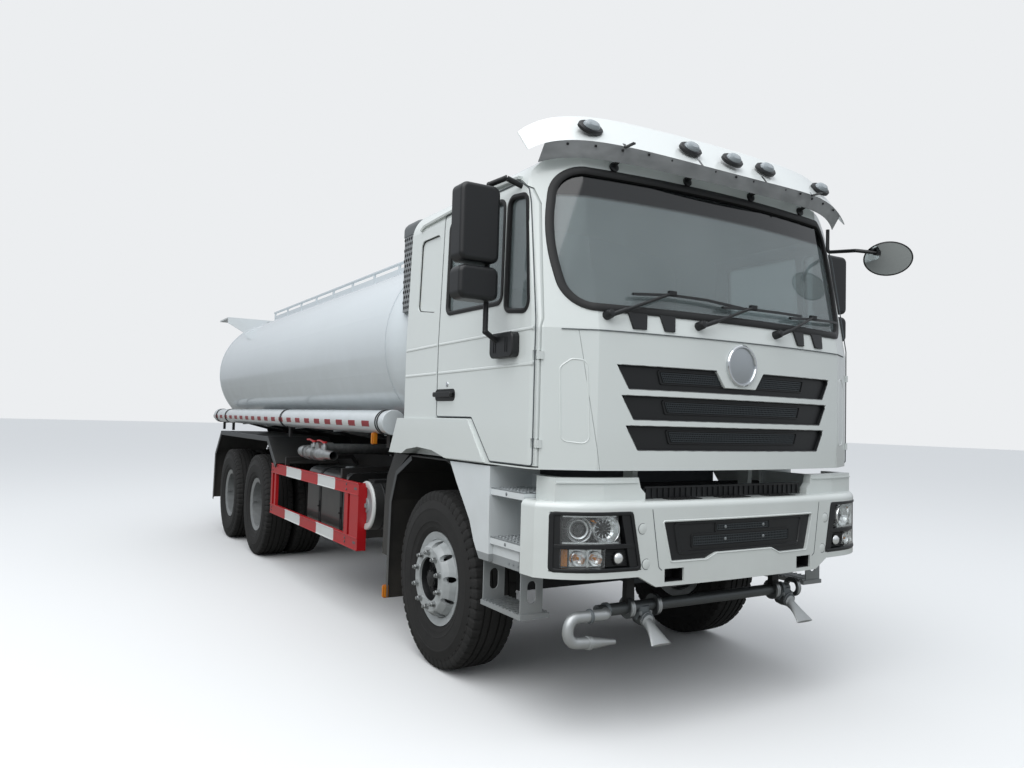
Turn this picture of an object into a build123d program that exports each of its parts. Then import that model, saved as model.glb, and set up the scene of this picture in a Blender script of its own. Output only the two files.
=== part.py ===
from build123d import *
import math
import os

# Six-wheeled water tanker with a forward-tilting cab, in millimetres.
# The front faces -Y, +X is the truck's left side, +Z is up and the ground is z = 0.

os.makedirs("parts", exist_ok=True)

SIDES = (("right", -1), ("left", 1))

# Wheels and axles
front_axle_y = -2990
wheelbase = 4575
bogie_spread = 1400
tyre_radius = 562
tyre_half_width = 157
rim_radius = 262
rim_flange_radius = 296
rim_half_width = 112
front_track_half = 1018
rear_track_half = 908
twin_spacing_half = 175
kingpin_x = 900
kingpin_radius = 25
spindle_radius = 46
hub_clearance = 0.3

# Frame
rail_outer_x = 425
rail_bottom_z = 800
rail_top_z = 1100
rail_flange = 80
rail_thickness = 9
frame_front_y = front_axle_y - 1330
frame_rear_y = front_axle_y + 7330

# Tank
tank_half_width = 1200
tank_mid_z = 2145
tank_half_height = 805
tank_front_y = front_axle_y + 550
tank_rear_y = front_axle_y + 7260
tank_head_radius = 300

# Cab
body_half_width = 1245
cab_floor_z = 1345
belt_z = 2070
cab_rear_y = front_axle_y + 380
cab_wall = 45
cab_pivot_y = front_axle_y - 1360
cab_pivot_z = 1000
door_gap = 7
seat_gap = 0.3
tank_top_z = tank_mid_z + tank_half_height

rear_axle_ys = (front_axle_y + wheelbase, front_axle_y + wheelbase + bogie_spread)
bogie_mid_y = front_axle_y + wheelbase + bogie_spread / 2


# Tyres: plain carcasses with a flat tread, square shoulders and bulged walls
tyre_outline = (
    # axial, radial
    (-rim_half_width, rim_radius),
    (-rim_half_width, rim_flange_radius),
    (-tyre_half_width, 405),
    (-tyre_half_width + 12, tyre_radius - 38),
    (-tyre_half_width + 35, tyre_radius),
    (tyre_half_width - 35, tyre_radius),
    (tyre_half_width - 12, tyre_radius - 38),
    (tyre_half_width, 405),
    (rim_half_width, rim_flange_radius),
    (rim_half_width, rim_radius),
)

# Rim barrel with both flanges, shared by every wheel
barrel_outline = (
    # axial, radial
    (-rim_half_width - 14, rim_flange_radius),
    (-rim_half_width, rim_flange_radius),
    (-rim_half_width, rim_radius),
    (rim_half_width, rim_radius),
    (rim_half_width, rim_flange_radius),
    (rim_half_width + 14, rim_flange_radius),
    (rim_half_width, rim_radius - 14),
    (-rim_half_width, rim_radius - 14),
)

hub_radius = 118
drum_outer_radius = 222
drum_wall = 17
bore_radius = spindle_radius + hub_clearance

# Front wheel: disc bulged outwards to the mounting ring, hub nose and brake drum
front_disc_outline = (
    (60, rim_radius - 8),
    (92, rim_radius - 8),
    (114, 243),
    (150, 231),
    (180, 208),
    (186, 200),
    (186, 138),
    (170, 138),
    (170, 194),
    (138, 214),
    (104, 228),
    (60, 240),
)
front_hub_outline = (
    (-36, bore_radius),
    (-36, drum_outer_radius - 4),
    (-20, drum_outer_radius - 4),
    (-20, hub_radius),
    (116, hub_radius),
    (116, 150),
    (171, 150),
    (171, 136),
    (130, 128),
    (130, 64),
    (168, 58),
    (168, 0),
    (112, 0),
    (112, bore_radius),
)
hand_hole_count = 10
hand_hole_radius = 21
front_drum_outline = (
    (-200, drum_outer_radius - drum_wall),
    (-200, drum_outer_radius),
    (-20, drum_outer_radius),
    (-20, drum_outer_radius - drum_wall),
)

# Rear twin wheel: two rims bolted back to back on one hub
rear_disc_outline = (
    (0, hub_radius - 8),
    (0, 212),
    (50, rim_radius - 8),
    (68, rim_radius - 8),
    (16, 204),
    (16, hub_radius - 8),
)
rear_hub_outline = (
    (-66, bore_radius),
    (-66, drum_outer_radius - 4),
    (-50, drum_outer_radius - 4),
    (-50, hub_radius),
    (18, hub_radius),
    (24, 98),
    (128, 92),
    (136, 80),
    (136, 0),
    (104, 0),
    (104, bore_radius),
)
rear_drum_outline = (
    (-300, drum_outer_radius - drum_wall),
    (-300, drum_outer_radius),
    (-50, drum_outer_radius),
    (-50, drum_outer_radius - drum_wall),
)


def wheel_plane(x, y, sign):
    """Plane through a wheel's axis, local x pointing outwards and local y to the rear."""
    return Plane(origin=(x, y, tyre_radius), x_dir=(sign, 0, 0), z_dir=(0, 0, sign))


def ring(outline, plane, shift=0, flip=1):
    """Turns one outline about the local x axis of its plane."""
    with BuildSketch(plane) as section:
        with BuildLine():
            Polyline([(shift + flip * a, r) for a, r in outline], close=True)
        make_face()
    revolve(section.sketch, axis=Axis(plane.origin, plane.x_dir))


def hand_holes(x, y, sign, start, end, radius):
    """Round holes through a wheel's disc between two distances along its axis."""
    with BuildSketch(Plane(origin=(x + sign * start, y, tyre_radius), x_dir=(0, 1, 0), z_dir=(sign, 0, 0))) as holes:
        with PolarLocations(radius, hand_hole_count, start_angle=8):
            Circle(hand_hole_radius)
    extrude(holes.sketch, amount=end - start, mode=Mode.SUBTRACT)


for side, sign in SIDES:
    plane = wheel_plane(sign * front_track_half, front_axle_y, sign)
    with BuildPart() as front_tyre:
        ring(tyre_outline, plane)
    front_tyre.part.label = f"tyre_front_{side}"
    export_step(front_tyre.part, f"parts/tyre_front_{side}.step")

    with BuildPart() as front_rim:
        ring(barrel_outline, plane)
        ring(front_disc_outline, plane)
        hand_holes(sign * front_track_half, front_axle_y, sign, 96, 190, 224)
        ring(front_hub_outline, plane)
        ring(front_drum_outline, plane)
    front_rim.part.label = f"rim_front_{side}"
    export_step(front_rim.part, f"parts/rim_front_{side}.step")

    for number, axle_y in enumerate(rear_axle_ys, 1):
        plane = wheel_plane(sign * rear_track_half, axle_y, sign)
        with BuildPart() as rear_tyres:
            for shift in (-twin_spacing_half, twin_spacing_half):
                ring(tyre_outline, plane, shift)
        rear_tyres.part.label = f"tyres_rear_{number}_{side}"
        export_step(rear_tyres.part, f"parts/tyres_rear_{number}_{side}.step")

        with BuildPart() as rear_rims:
            for flip in (-1, 1):
                ring(barrel_outline, plane, flip * twin_spacing_half)
                ring(rear_disc_outline, plane, 0, flip)
            hand_holes(sign * rear_track_half, axle_y, sign, -80, 80, 226)
            ring(rear_hub_outline, plane)
            ring(rear_drum_outline, plane)
        rear_rims.part.label = f"rims_rear_{number}_{side}"
        export_step(rear_rims.part, f"parts/rims_rear_{number}_{side}.step")


# Steering knuckles: two ears on the kingpin, a web and the wheel spindle
boss_half_height = 70
boss_radius = 55
ear_gap = 0.6
ear_thickness = 42
web_inner_x = kingpin_x + boss_radius + 6
ear_height = boss_half_height + ear_gap + ear_thickness

for side, sign in SIDES:
    with BuildPart() as knuckle:
        with BuildSketch(Plane.XY.offset(tyre_radius - ear_height)) as ear:
            with Locations((sign * kingpin_x, front_axle_y)):
                Circle(boss_radius - 4)
            with Locations((sign * (kingpin_x + 38), front_axle_y)):
                Rectangle(76, 2 * boss_radius - 10)
        extrude(amount=ear_thickness)
        with BuildSketch(Plane.XY.offset(tyre_radius + ear_height)):
            add(ear.sketch_local)
        extrude(amount=-ear_thickness)
        with BuildSketch(Plane.XY.offset(tyre_radius - ear_height)):
            with Locations((sign * kingpin_x, front_axle_y)):
                Circle(kingpin_radius)
        extrude(amount=2 * ear_height)
        with BuildSketch(Plane.YZ.offset(sign * web_inner_x)):
            with Locations((front_axle_y, tyre_radius)):
                Rectangle(2 * boss_radius - 10, 2 * ear_height)
        extrude(amount=sign * (76 - boss_radius - 6))
        with BuildSketch(Plane.YZ.offset(sign * web_inner_x)):
            with Locations((front_axle_y, tyre_radius)):
                Circle(spindle_radius)
        extrude(amount=sign * (front_track_half + 106 - web_inner_x))
        # Steering arm, out of the drum and then to the rear
        with BuildSketch(Plane.XY.offset(tyre_radius - ear_height)):
            with BuildLine():
                Polyline(
                    (sign * kingpin_x, front_axle_y - 30),
                    (sign * (kingpin_x - 130), front_axle_y - 20),
                    (sign * (kingpin_x - 170), front_axle_y + 190),
                    (sign * (kingpin_x - 120), front_axle_y + 190),
                    (sign * (kingpin_x - 90), front_axle_y + 40),
                    (sign * kingpin_x, front_axle_y + 40),
                    close=True,
                )
            make_face()
        extrude(amount=26)
    knuckle.part.label = f"knuckle_{side}"
    export_step(knuckle.part, f"parts/knuckle_{side}.step")


# Front axle: dropped beam with kingpin bosses
beam_half_depth = 45
beam_outline = (
    # x, height about the wheel centre
    (-kingpin_x + 30, 38),
    (-640, 38),
    (-560, -2),
    (560, -2),
    (640, 38),
    (kingpin_x - 30, 38),
    (kingpin_x - 30, -38),
    (650, -50),
    (545, -125),
    (-545, -125),
    (-650, -50),
    (-kingpin_x + 30, -38),
)
with BuildPart() as front_axle:
    with BuildSketch(Plane.XZ.offset(-front_axle_y)):
        with BuildLine():
            Polyline([(x, tyre_radius + z) for x, z in beam_outline], close=True)
        make_face()
    extrude(amount=beam_half_depth, both=True)
    with BuildSketch(Plane.XY.offset(tyre_radius - boss_half_height)) as bosses:
        with Locations((-kingpin_x, front_axle_y), (kingpin_x, front_axle_y)):
            Circle(boss_radius)
    extrude(amount=2 * boss_half_height)
    with Locations((-kingpin_x, front_axle_y, tyre_radius), (kingpin_x, front_axle_y, tyre_radius)):
        Hole(kingpin_radius + 0.1, depth=boss_half_height + 1)
        Cylinder(kingpin_radius + 0.1, 2 * boss_half_height + 2, mode=Mode.SUBTRACT)
front_axle.part.label = "front_axle"
export_step(front_axle.part, "parts/front_axle.step")


# Driven rear axles: tubes with a round casing and the hub spindles
axle_tube_radius = 72
casing_radius = 215
casing_half_width = 130
with BuildPart() as rear_axles:
    for axle_y in rear_axle_ys:
        axis_plane = Plane.YZ
        with BuildSketch(axis_plane):
            with Locations((axle_y, tyre_radius)):
                Circle(axle_tube_radius)
        extrude(amount=rear_track_half - 320, both=True)
        with BuildSketch(axis_plane):
            with Locations((axle_y, tyre_radius)):
                Circle(spindle_radius)
        extrude(amount=rear_track_half + 98, both=True)
        with BuildSketch(axis_plane):
            with Locations((axle_y, tyre_radius)):
                Circle(casing_radius)
        extrude(amount=casing_half_width, both=True)
        # Pinion nose towards the front
        with BuildSketch(Plane.XZ.offset(-axle_y + casing_radius + 120)):
            with Locations((0, tyre_radius + 60)):
                Circle(95)
        extrude(amount=-casing_radius - 120)
rear_axles.part.label = "rear_axles"
export_step(rear_axles.part, "parts/rear_axles.step")


# Propeller shafts from the gearbox to the first axle and on to the second
shaft_radius = 55
gearbox_rear_y = front_axle_y + 1150
shaft_z = tyre_radius + 60
with BuildPart() as driveline:
    spans = (
        (gearbox_rear_y, rear_axle_ys[0] - casing_radius - 120),
        (rear_axle_ys[0] + casing_radius, rear_axle_ys[1] - casing_radius - 120),
    )
    for start_y, end_y in spans:
        with BuildSketch(Plane.XZ.offset(-start_y)):
            with Locations((0, shaft_z)):
                Circle(shaft_radius)
        extrude(amount=start_y - end_y)
driveline.part.label = "driveline"
export_step(driveline.part, "parts/driveline.step")


# Engine with gearbox: one plain block
engine_half_width = 330
engine_front_y = front_axle_y - 950
engine_rear_y = front_axle_y + 420
engine_top_z = 1480
with BuildPart() as engine_block:
    with BuildSketch(Plane.XY.offset(640)):
        with Locations((0, (engine_front_y + engine_rear_y) / 2)):
            Rectangle(2 * engine_half_width, engine_rear_y - engine_front_y)
    extrude(amount=engine_top_z - 640)
    with BuildSketch(Plane.XY.offset(520)):
        with Locations((0, (engine_rear_y + gearbox_rear_y) / 2)):
            Rectangle(460, gearbox_rear_y - engine_rear_y)
    extrude(amount=500)
engine_block.part.label = "engine_block"
export_step(engine_block.part, "parts/engine_block.step")


guard_outer_x = body_half_width - 20
guard_front_y = front_axle_y + 1260
guard_rear_y = rear_axle_ys[0] - 675
guard_bottom_z = 545
guard_top_z = 1068
guard_rail_height = 98
guard_depth = 30

beam_y = frame_front_y - 20
beam_depth = 80
beam_mid_z = 880
beam_height = 120
tilt_pin_radius = 16
tilt_arm_x = 450
tilt_arm_width = 35

# Frame: two channel rails and the cross members between them
cross_ys = [front_axle_y + d for d in (-1290, 1300, 2350, 3500, 4200, 5275, 6350, 7290)]
with BuildPart() as chassis_frame:
    for sign in (-1, 1):
        with BuildSketch(Plane.XZ.offset(-frame_front_y)):
            with BuildLine():
                Polyline(
                    (sign * rail_outer_x, rail_bottom_z),
                    (sign * rail_outer_x, rail_top_z),
                    (sign * (rail_outer_x - rail_flange), rail_top_z),
                    (sign * (rail_outer_x - rail_flange), rail_top_z - rail_thickness),
                    (sign * (rail_outer_x - rail_thickness), rail_top_z - rail_thickness),
                    (sign * (rail_outer_x - rail_thickness), rail_bottom_z + rail_thickness),
                    (sign * (rail_outer_x - rail_flange), rail_bottom_z + rail_thickness),
                    (sign * (rail_outer_x - rail_flange), rail_bottom_z),
                    close=True,
                )
            make_face()
        extrude(amount=frame_front_y - frame_rear_y)
    for cross_y in cross_ys:
        with BuildSketch(Plane.YZ):
            with Locations((cross_y, (rail_bottom_z + rail_top_z) / 2 + 30)):
                Rectangle(70, 180)
                Rectangle(56, 166, mode=Mode.SUBTRACT)
        extrude(amount=rail_outer_x - rail_thickness, both=True)
    # Front beam that carries the bumper
    with BuildSketch(Plane.YZ):
        with Locations((beam_y, beam_mid_z)):
            Rectangle(beam_depth, beam_height)
    extrude(amount=690, both=True)
    # Lugs with the pins that the cab tilts on, and the rests under the cab's rear
    for sign in (-1, 1):
        with BuildSketch(Plane.YZ.offset(sign * (rail_outer_x - 20))):
            with Locations((cab_pivot_y, cab_pivot_z)):
                Circle(38)
            with Locations((cab_pivot_y + 45, cab_pivot_z - 22)):
                Rectangle(90, 120)
        extrude(amount=sign * 20)
        with BuildSketch(Plane.YZ.offset(sign * rail_outer_x)):
            with Locations((cab_pivot_y, cab_pivot_z)):
                Circle(tilt_pin_radius)
        extrude(amount=sign * (tilt_arm_x + tilt_arm_width + 8 - rail_outer_x))
        with BuildSketch(Plane.XY.offset(rail_top_z - 40)):
            with Locations((sign * (rail_outer_x + 20), cab_rear_y - 60)):
                Rectangle(40, 90)
        extrude(amount=cab_floor_z - rail_top_z + 40)
        # Cranked struts out to the side guards
        strut_x = guard_outer_x - guard_depth - seat_gap
        for strut_y in (guard_front_y + 480, guard_rear_y - 440):
            with BuildSketch(Plane.XZ.offset(-strut_y)):
                with BuildLine():
                    Polyline(
                        (sign * strut_x, guard_top_z - 90),
                        (sign * strut_x, 1150),
                        (sign * (rail_outer_x + 60), 1180),
                        (sign * (rail_outer_x - 4), 1090),
                        (sign * (rail_outer_x - 4), 1040),
                        (sign * (rail_outer_x + 80), 1140),
                        (sign * (strut_x - 40), 1112),
                        (sign * (strut_x - 40), guard_top_z - 90),
                        close=True,
                    )
                make_face()
            extrude(amount=-40)
chassis_frame.part.label = "chassis_frame"
export_step(chassis_frame.part, "parts/chassis_frame.step")


# Leaf springs: arched packs over the front axle, flat ones between the rear axles
leaf_thickness = 16
leaf_width = 80
spring_x = rail_outer_x - 20
front_pad_z = tyre_radius - 2
bogie_pad_z = tyre_radius + axle_tube_radius
front_leaves = ((760, 150), (620, 96), (480, 56), (340, 28))
bogie_leaves = ((790, 0), (640, 16), (490, 32), (340, 48), (220, 64))
with BuildPart() as leaf_springs:
    for sign in (-1, 1):
        for number, (half_length, rise) in enumerate(front_leaves):
            base_z = front_pad_z + (len(front_leaves) - 1 - number) * leaf_thickness
            with BuildSketch(Plane.YZ.offset(sign * spring_x)):
                with BuildLine():
                    low = ThreePointArc(
                        (front_axle_y - half_length, base_z + rise),
                        (front_axle_y, base_z),
                        (front_axle_y + half_length, base_z + rise),
                    )
                    Line(low @ 1, (front_axle_y + half_length, base_z + rise + leaf_thickness))
                    ThreePointArc(
                        (front_axle_y + half_length, base_z + rise + leaf_thickness),
                        (front_axle_y, base_z + leaf_thickness),
                        (front_axle_y - half_length, base_z + rise + leaf_thickness),
                    )
                    Line((front_axle_y - half_length, base_z + rise + leaf_thickness), low @ 0)
                make_face()
            extrude(amount=leaf_width / 2, both=True)
        for half_length, rise in bogie_leaves:
            with BuildSketch(Plane.YZ.offset(sign * (spring_x + 45))):
                with Locations((bogie_mid_y, bogie_pad_z + rise + leaf_thickness / 2)):
                    Rectangle(2 * half_length, leaf_thickness)
            extrude(amount=leaf_width / 2, both=True)
        # Hangers from the rail to the eyes of the front springs and to the trunnion
        for hanger_y in (front_axle_y - 760, front_axle_y + 760):
            with BuildSketch(Plane.YZ.offset(sign * spring_x)):
                with Locations((hanger_y, rail_bottom_z - 50)):
                    Rectangle(90, 100)
            extrude(amount=15, both=True)
        with BuildSketch(Plane.YZ.offset(sign * (rail_outer_x + seat_gap))):
            with Locations((bogie_mid_y, (bogie_pad_z + 80 + rail_bottom_z + 40) / 2)):
                Rectangle(260, rail_bottom_z - 40 - bogie_pad_z)
        extrude(amount=sign * 48)
leaf_springs.part.label = "leaf_springs"
export_step(leaf_springs.part, "parts/leaf_springs.step")


# Side tanks: strapped fuel tank and round drum on the right, battery box on the left
side_tank_outer_x = 1100
drum_y = front_axle_y + 1265
drum_z = 895
drum_radius = 190
fuel_front_y = front_axle_y + 1880
fuel_rear_y = front_axle_y + 2990
with BuildPart() as side_tanks:
    for sign, front_y, rear_y in ((-1, fuel_front_y, fuel_rear_y), (1, fuel_front_y, fuel_front_y + 640)):
        with BuildSketch(Plane.XZ.offset(-front_y)):
            with Locations((sign * (side_tank_outer_x + rail_outer_x + 60) / 2, 820)):
                RectangleRounded(side_tank_outer_x - rail_outer_x - 60, 560, 90)
        extrude(amount=front_y - rear_y)
        # Brackets from the rail
        for bracket_y in (front_y + 150, rear_y - 150):
            with BuildSketch(Plane.XZ.offset(-bracket_y)):
                with Locations((sign * (rail_outer_x + 31), 820)):
                    Rectangle(62, 200)
            extrude(amount=50)
    with BuildSketch(Plane.YZ.offset(-1150)):
        with Locations((drum_y, drum_z)):
            Circle(drum_radius)
    extrude(amount=560)
    with BuildSketch(Plane.YZ.offset(-600)):
        with Locations((drum_y, drum_z + 40)):
            Rectangle(160, 100)
    extrude(amount=600 - rail_outer_x)
side_tanks.part.label = "side_tanks"
export_step(side_tanks.part, "parts/side_tanks.step")


# Air intake column behind the cab's right corner
intake_x = -1040
intake_y = front_axle_y + 480
intake_depth = 110
intake_base_z = 1350
with BuildPart() as air_intake:
    with BuildSketch(Plane.XY.offset(intake_base_z)):
        with Locations((intake_x + 60, intake_y)):
            RectangleRounded(180, intake_depth, 40)
    extrude(amount=1015)
    with BuildSketch(Plane.XY.offset(intake_base_z + 1000)):
        with Locations((intake_x, intake_y)):
            RectangleRounded(220, intake_depth, 40)
    extrude(amount=650)
    # Bracket along the frame's top and down onto the rail
    with BuildSketch(Plane.XY.offset(intake_base_z)):
        with Locations(((intake_x - rail_outer_x) / 2 + 60, intake_y)):
            Rectangle(-intake_x - rail_outer_x + 30, 60)
    extrude(amount=50)
    with BuildSketch(Plane.XY.offset(rail_top_z + 0.3)):
        with Locations((-rail_outer_x + rail_flange / 2, intake_y)):
            Rectangle(rail_flange, 60)
    extrude(amount=intake_base_z + 50 - rail_top_z - 0.3)
air_intake.part.label = "air_intake"
export_step(air_intake.part, "parts/air_intake.step")


# Side guards: two rails between a wide front plate with its return and a rear post
guard_posts = (
    # from the front end, width along the guard, depth
    (0, 190, guard_depth),
    (0, 34, 72),
    (240, 80, guard_depth),
    (guard_rear_y - guard_front_y - 60, 60, 60),
    (guard_rear_y - guard_front_y - 190, 50, guard_depth),
)
with BuildPart() as side_guards:
    for sign in (-1, 1):
        for base_z in (guard_bottom_z, guard_top_z - guard_rail_height):
            with BuildSketch(Plane.XZ.offset(-guard_front_y)):
                with Locations((sign * (guard_outer_x - guard_depth / 2), base_z + guard_rail_height / 2)):
                    Rectangle(guard_depth, guard_rail_height)
            extrude(amount=guard_front_y - guard_rear_y)
        for start, post_width, depth in guard_posts:
            with BuildSketch(Plane.XY.offset(guard_bottom_z)):
                with Locations((sign * (guard_outer_x - depth / 2), guard_front_y + start + post_width / 2)):
                    Rectangle(depth, post_width)
            extrude(amount=guard_top_z - guard_bottom_z)
side_guards.part.label = "side_guards"
export_step(side_guards.part, "parts/side_guards.step")


# Mudguards: bent sheets behind the front wheels and over the rear ones
sheet = 8
front_guard_path = (
    # rearwards of the axle, height
    (-300, 1300),
    (-200, 1334),
    (330, 1334),
    (594, 1210),
    (690, 1000),
    (704, 700),
    (708, 300),
)
front_lip_outline = (
    (380, 1334),
    (594, 1202),
    (686, 996),
    (700, 700),
    (700, 600),
    (800, 600),
    (784, 986),
    (754, 1162),
    (628, 1334),
)
rear_guard_path = (
    # rearwards of the first rear axle, height
    (-905, 1078),
    (-520, 1345),
    (1975, 1345),
    (2330, 1040),
    (2370, 420),
)


def bent_sheet(path, base_y, inner_x, outer_x, sign, thickness):
    """A sheet of even thickness along a bent side profile."""
    with BuildSketch(Plane.YZ.offset(sign * inner_x)) as section:
        with BuildLine():
            Polyline([(base_y + y, z) for y, z in path])
            offset(amount=thickness, side=Side.RIGHT, closed=True)
        make_face()
    extrude(section.sketch, amount=sign * (outer_x - inner_x))


with BuildPart() as mudguards:
    for sign in (-1, 1):
        bent_sheet(front_guard_path, front_axle_y, 610, body_half_width - 45, sign, sheet)
        with BuildSketch(Plane.YZ.offset(sign * (body_half_width - 53))):
            with BuildLine():
                Polyline([(front_axle_y + y, z) for y, z in front_lip_outline], close=True)
            make_face()
        extrude(amount=sign * 8)
        bent_sheet(rear_guard_path, rear_axle_ys[0], 560, body_half_width - 5, sign, sheet)
        bent_sheet(rear_guard_path, rear_axle_ys[0], body_half_width - 11, body_half_width - 5, sign, 55)
        # Stays: straight to the front sheet, cranked up to the rear one
        with BuildSketch(Plane.YZ.offset(sign * rail_outer_x)):
            with Locations((front_axle_y + 652, 1060)):
                Rectangle(60, 60)
        extrude(amount=sign * (640 - rail_outer_x))
        for stay_y in (rear_axle_ys[0] - 200, rear_axle_ys[1] + 200):
            with BuildSketch(Plane.XZ.offset(-stay_y)):
                with BuildLine():
                    Polyline(
                        (sign * rail_outer_x, 1140),
                        (sign * 610, 1140),
                        (sign * 610, 1342),
                        (sign * 575, 1342),
                        (sign * 575, 1180),
                        (sign * rail_outer_x, 1180),
                        close=True,
                    )
                make_face()
            extrude(amount=50)
mudguards.part.label = "mudguards"
export_step(mudguards.part, "parts/mudguards.step")


# Tank: drum-oval shell with dished ends, manway collars on top
tank_corner_x = 640
tank_corner_drop = 82
tank_side_z = 225
tank_side_x = 1165


def tank_section(y, half_width=tank_half_width):
    """Oval of eight arcs about the tank's middle line."""
    scale_x = half_width / tank_half_width
    top = tank_half_height
    with BuildSketch(Plane.XZ.offset(-y)) as section:
        with BuildLine():
            for sx, sz in ((1, 1), (1, -1), (-1, -1), (-1, 1)):
                ThreePointArc(
                    (sx * tank_corner_x * scale_x, tank_mid_z + sz * (top - tank_corner_drop)),
                    (sx * 966 * scale_x, tank_mid_z + sz * (top - 263)),
                    (sx * tank_side_x * scale_x, tank_mid_z + sz * tank_side_z),
                )
            for sz in (-1, 1):
                ThreePointArc(
                    (-tank_corner_x * scale_x, tank_mid_z + sz * (top - tank_corner_drop)),
                    (0, tank_mid_z + sz * top),
                    (tank_corner_x * scale_x, tank_mid_z + sz * (top - tank_corner_drop)),
                )
            for sx in (-1, 1):
                ThreePointArc(
                    (sx * tank_side_x * scale_x, tank_mid_z + tank_side_z),
                    (sx * half_width, tank_mid_z),
                    (sx * tank_side_x * scale_x, tank_mid_z - tank_side_z),
                )
        make_face()
    return section.sketch


manway_y = front_axle_y + 3600
manway_radius = 260
collar_top_z = tank_top_z + 70
lid_hinge_x = -manway_radius - 45
lid_z = collar_top_z + seat_gap
lid_pin_z = lid_z + 6
lid_pin_radius = 10
with BuildPart() as tank_shell:
    extrude(tank_section(tank_front_y), amount=tank_front_y - tank_rear_y)
    fillet(tank_shell.edges().group_by(Axis.Y)[0], tank_head_radius)
    fillet(tank_shell.edges().group_by(Axis.Y)[-1], tank_head_radius - 60)
    with BuildSketch(Plane.XY.offset(tank_top_z - 60)):
        with Locations((0, manway_y)):
            Circle(manway_radius)
    extrude(amount=130)
    with BuildSketch(Plane.XY.offset(collar_top_z)):
        with Locations((0, manway_y)):
            Circle(manway_radius - 12)
    extrude(amount=-90, mode=Mode.SUBTRACT)
    # Ears for the lid's hinge pin
    for ear_shift in (-56, 40):
        with BuildSketch(Plane.XZ.offset(-manway_y - ear_shift)):
            with Locations((lid_hinge_x, lid_pin_z)):
                Circle(24)
            with Locations((lid_hinge_x, lid_pin_z - 60)):
                Rectangle(48, 120)
            with Locations((lid_hinge_x, lid_pin_z)):
                Circle(lid_pin_radius + seat_gap, mode=Mode.SUBTRACT)
        extrude(amount=-16)
tank_shell.part.label = "tank_shell"
export_step(tank_shell.part, "parts/tank_shell.step")

# Manway lid: domed disc with a hinge lug on its right edge
with BuildPart() as manway_lid:
    with BuildSketch(Plane.XY.offset(lid_z)):
        with Locations((0, manway_y)):
            Circle(manway_radius + 12)
    extrude(amount=12)
    with BuildSketch(Plane.XY.offset(lid_z + 12)):
        with Locations((0, manway_y)):
            Circle(manway_radius - 40)
    extrude(amount=22, taper=50)
    with BuildSketch(Plane.XY.offset(lid_z)):
        with Locations((lid_hinge_x + 50, manway_y)):
            Rectangle(100, 60)
    extrude(amount=12)
    # Grip at the far side
    with BuildSketch(Plane.XY.offset(lid_z + 6)):
        with Locations((manway_radius + 30, manway_y)):
            Rectangle(60, 90)
            with Locations((6, 0)):
                Rectangle(26, 60, mode=Mode.SUBTRACT)
    extrude(amount=6)
    with BuildSketch(Plane.XZ.offset(-manway_y)):
        with Locations((lid_hinge_x, lid_pin_z)):
            Circle(lid_pin_radius)
    extrude(amount=60, both=True)
manway_lid.part.label = "manway_lid"
export_step(manway_lid.part, "parts/manway_lid.step")


# Tank bearers: long beams on the rails and saddles under the shell
bearer_height = 110
bearer_top_z = rail_top_z + bearer_height
saddle_ys = [front_axle_y + d for d in (1000, 2200, 3400, 4600, 5800, 6900)]
with BuildPart() as tank_bearers:
    for sign in (-1, 1):
        with BuildSketch(Plane.XZ.offset(-tank_front_y - 200)):
            with Locations((sign * (rail_outer_x - rail_flange / 2), rail_top_z + bearer_height / 2)):
                Rectangle(rail_flange, bearer_height)
        extrude(amount=tank_front_y + 200 - tank_rear_y)
    for saddle_y in saddle_ys:
        with BuildSketch(Plane.XZ.offset(-saddle_y)):
            with BuildLine():
                Polyline(
                    (-980, 1640),
                    (-900, 1460),
                    (-545, 1370),
                    (-500, bearer_top_z),
                    (500, bearer_top_z),
                    (545, 1370),
                    (900, 1460),
                    (980, 1640),
                    close=True,
                )
            make_face()
        extrude(amount=6, both=True)
    extrude(tank_section(tank_front_y - 10), amount=tank_front_y - tank_rear_y - 20, mode=Mode.SUBTRACT)
tank_bearers.part.label = "tank_bearers"
export_step(tank_bearers.part, "parts/tank_bearers.step")


# Hose tubes along both sides of the tank, with end caps and straps
hose_x = 1152
hose_z = 1550
hose_radius = 90
hose_front_y = front_axle_y + 780
hose_rear_y = front_axle_y + 7090
with BuildPart() as hose_tubes:
    for sign in (-1, 1):
        with BuildSketch(Plane.XZ.offset(-hose_front_y)):
            with Locations((sign * hose_x, hose_z)):
                Circle(hose_radius)
        extrude(amount=hose_front_y - hose_rear_y)
        for saddle_y in saddle_ys:
            with BuildSketch(Plane.XZ.offset(-saddle_y - 6 - seat_gap)):
                with BuildLine():
                    Polyline(
                        (sign * (hose_x - 30), hose_z - hose_radius + 12),
                        (sign * (hose_x - 30), hose_z - hose_radius - 14),
                        (sign * 880, 1465),
                        (sign * 905, 1525),
                        close=True,
                    )
                make_face()
            extrude(amount=-20)
hose_tubes.part.label = "hose_tubes"
export_step(hose_tubes.part, "parts/hose_tubes.step")


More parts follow.
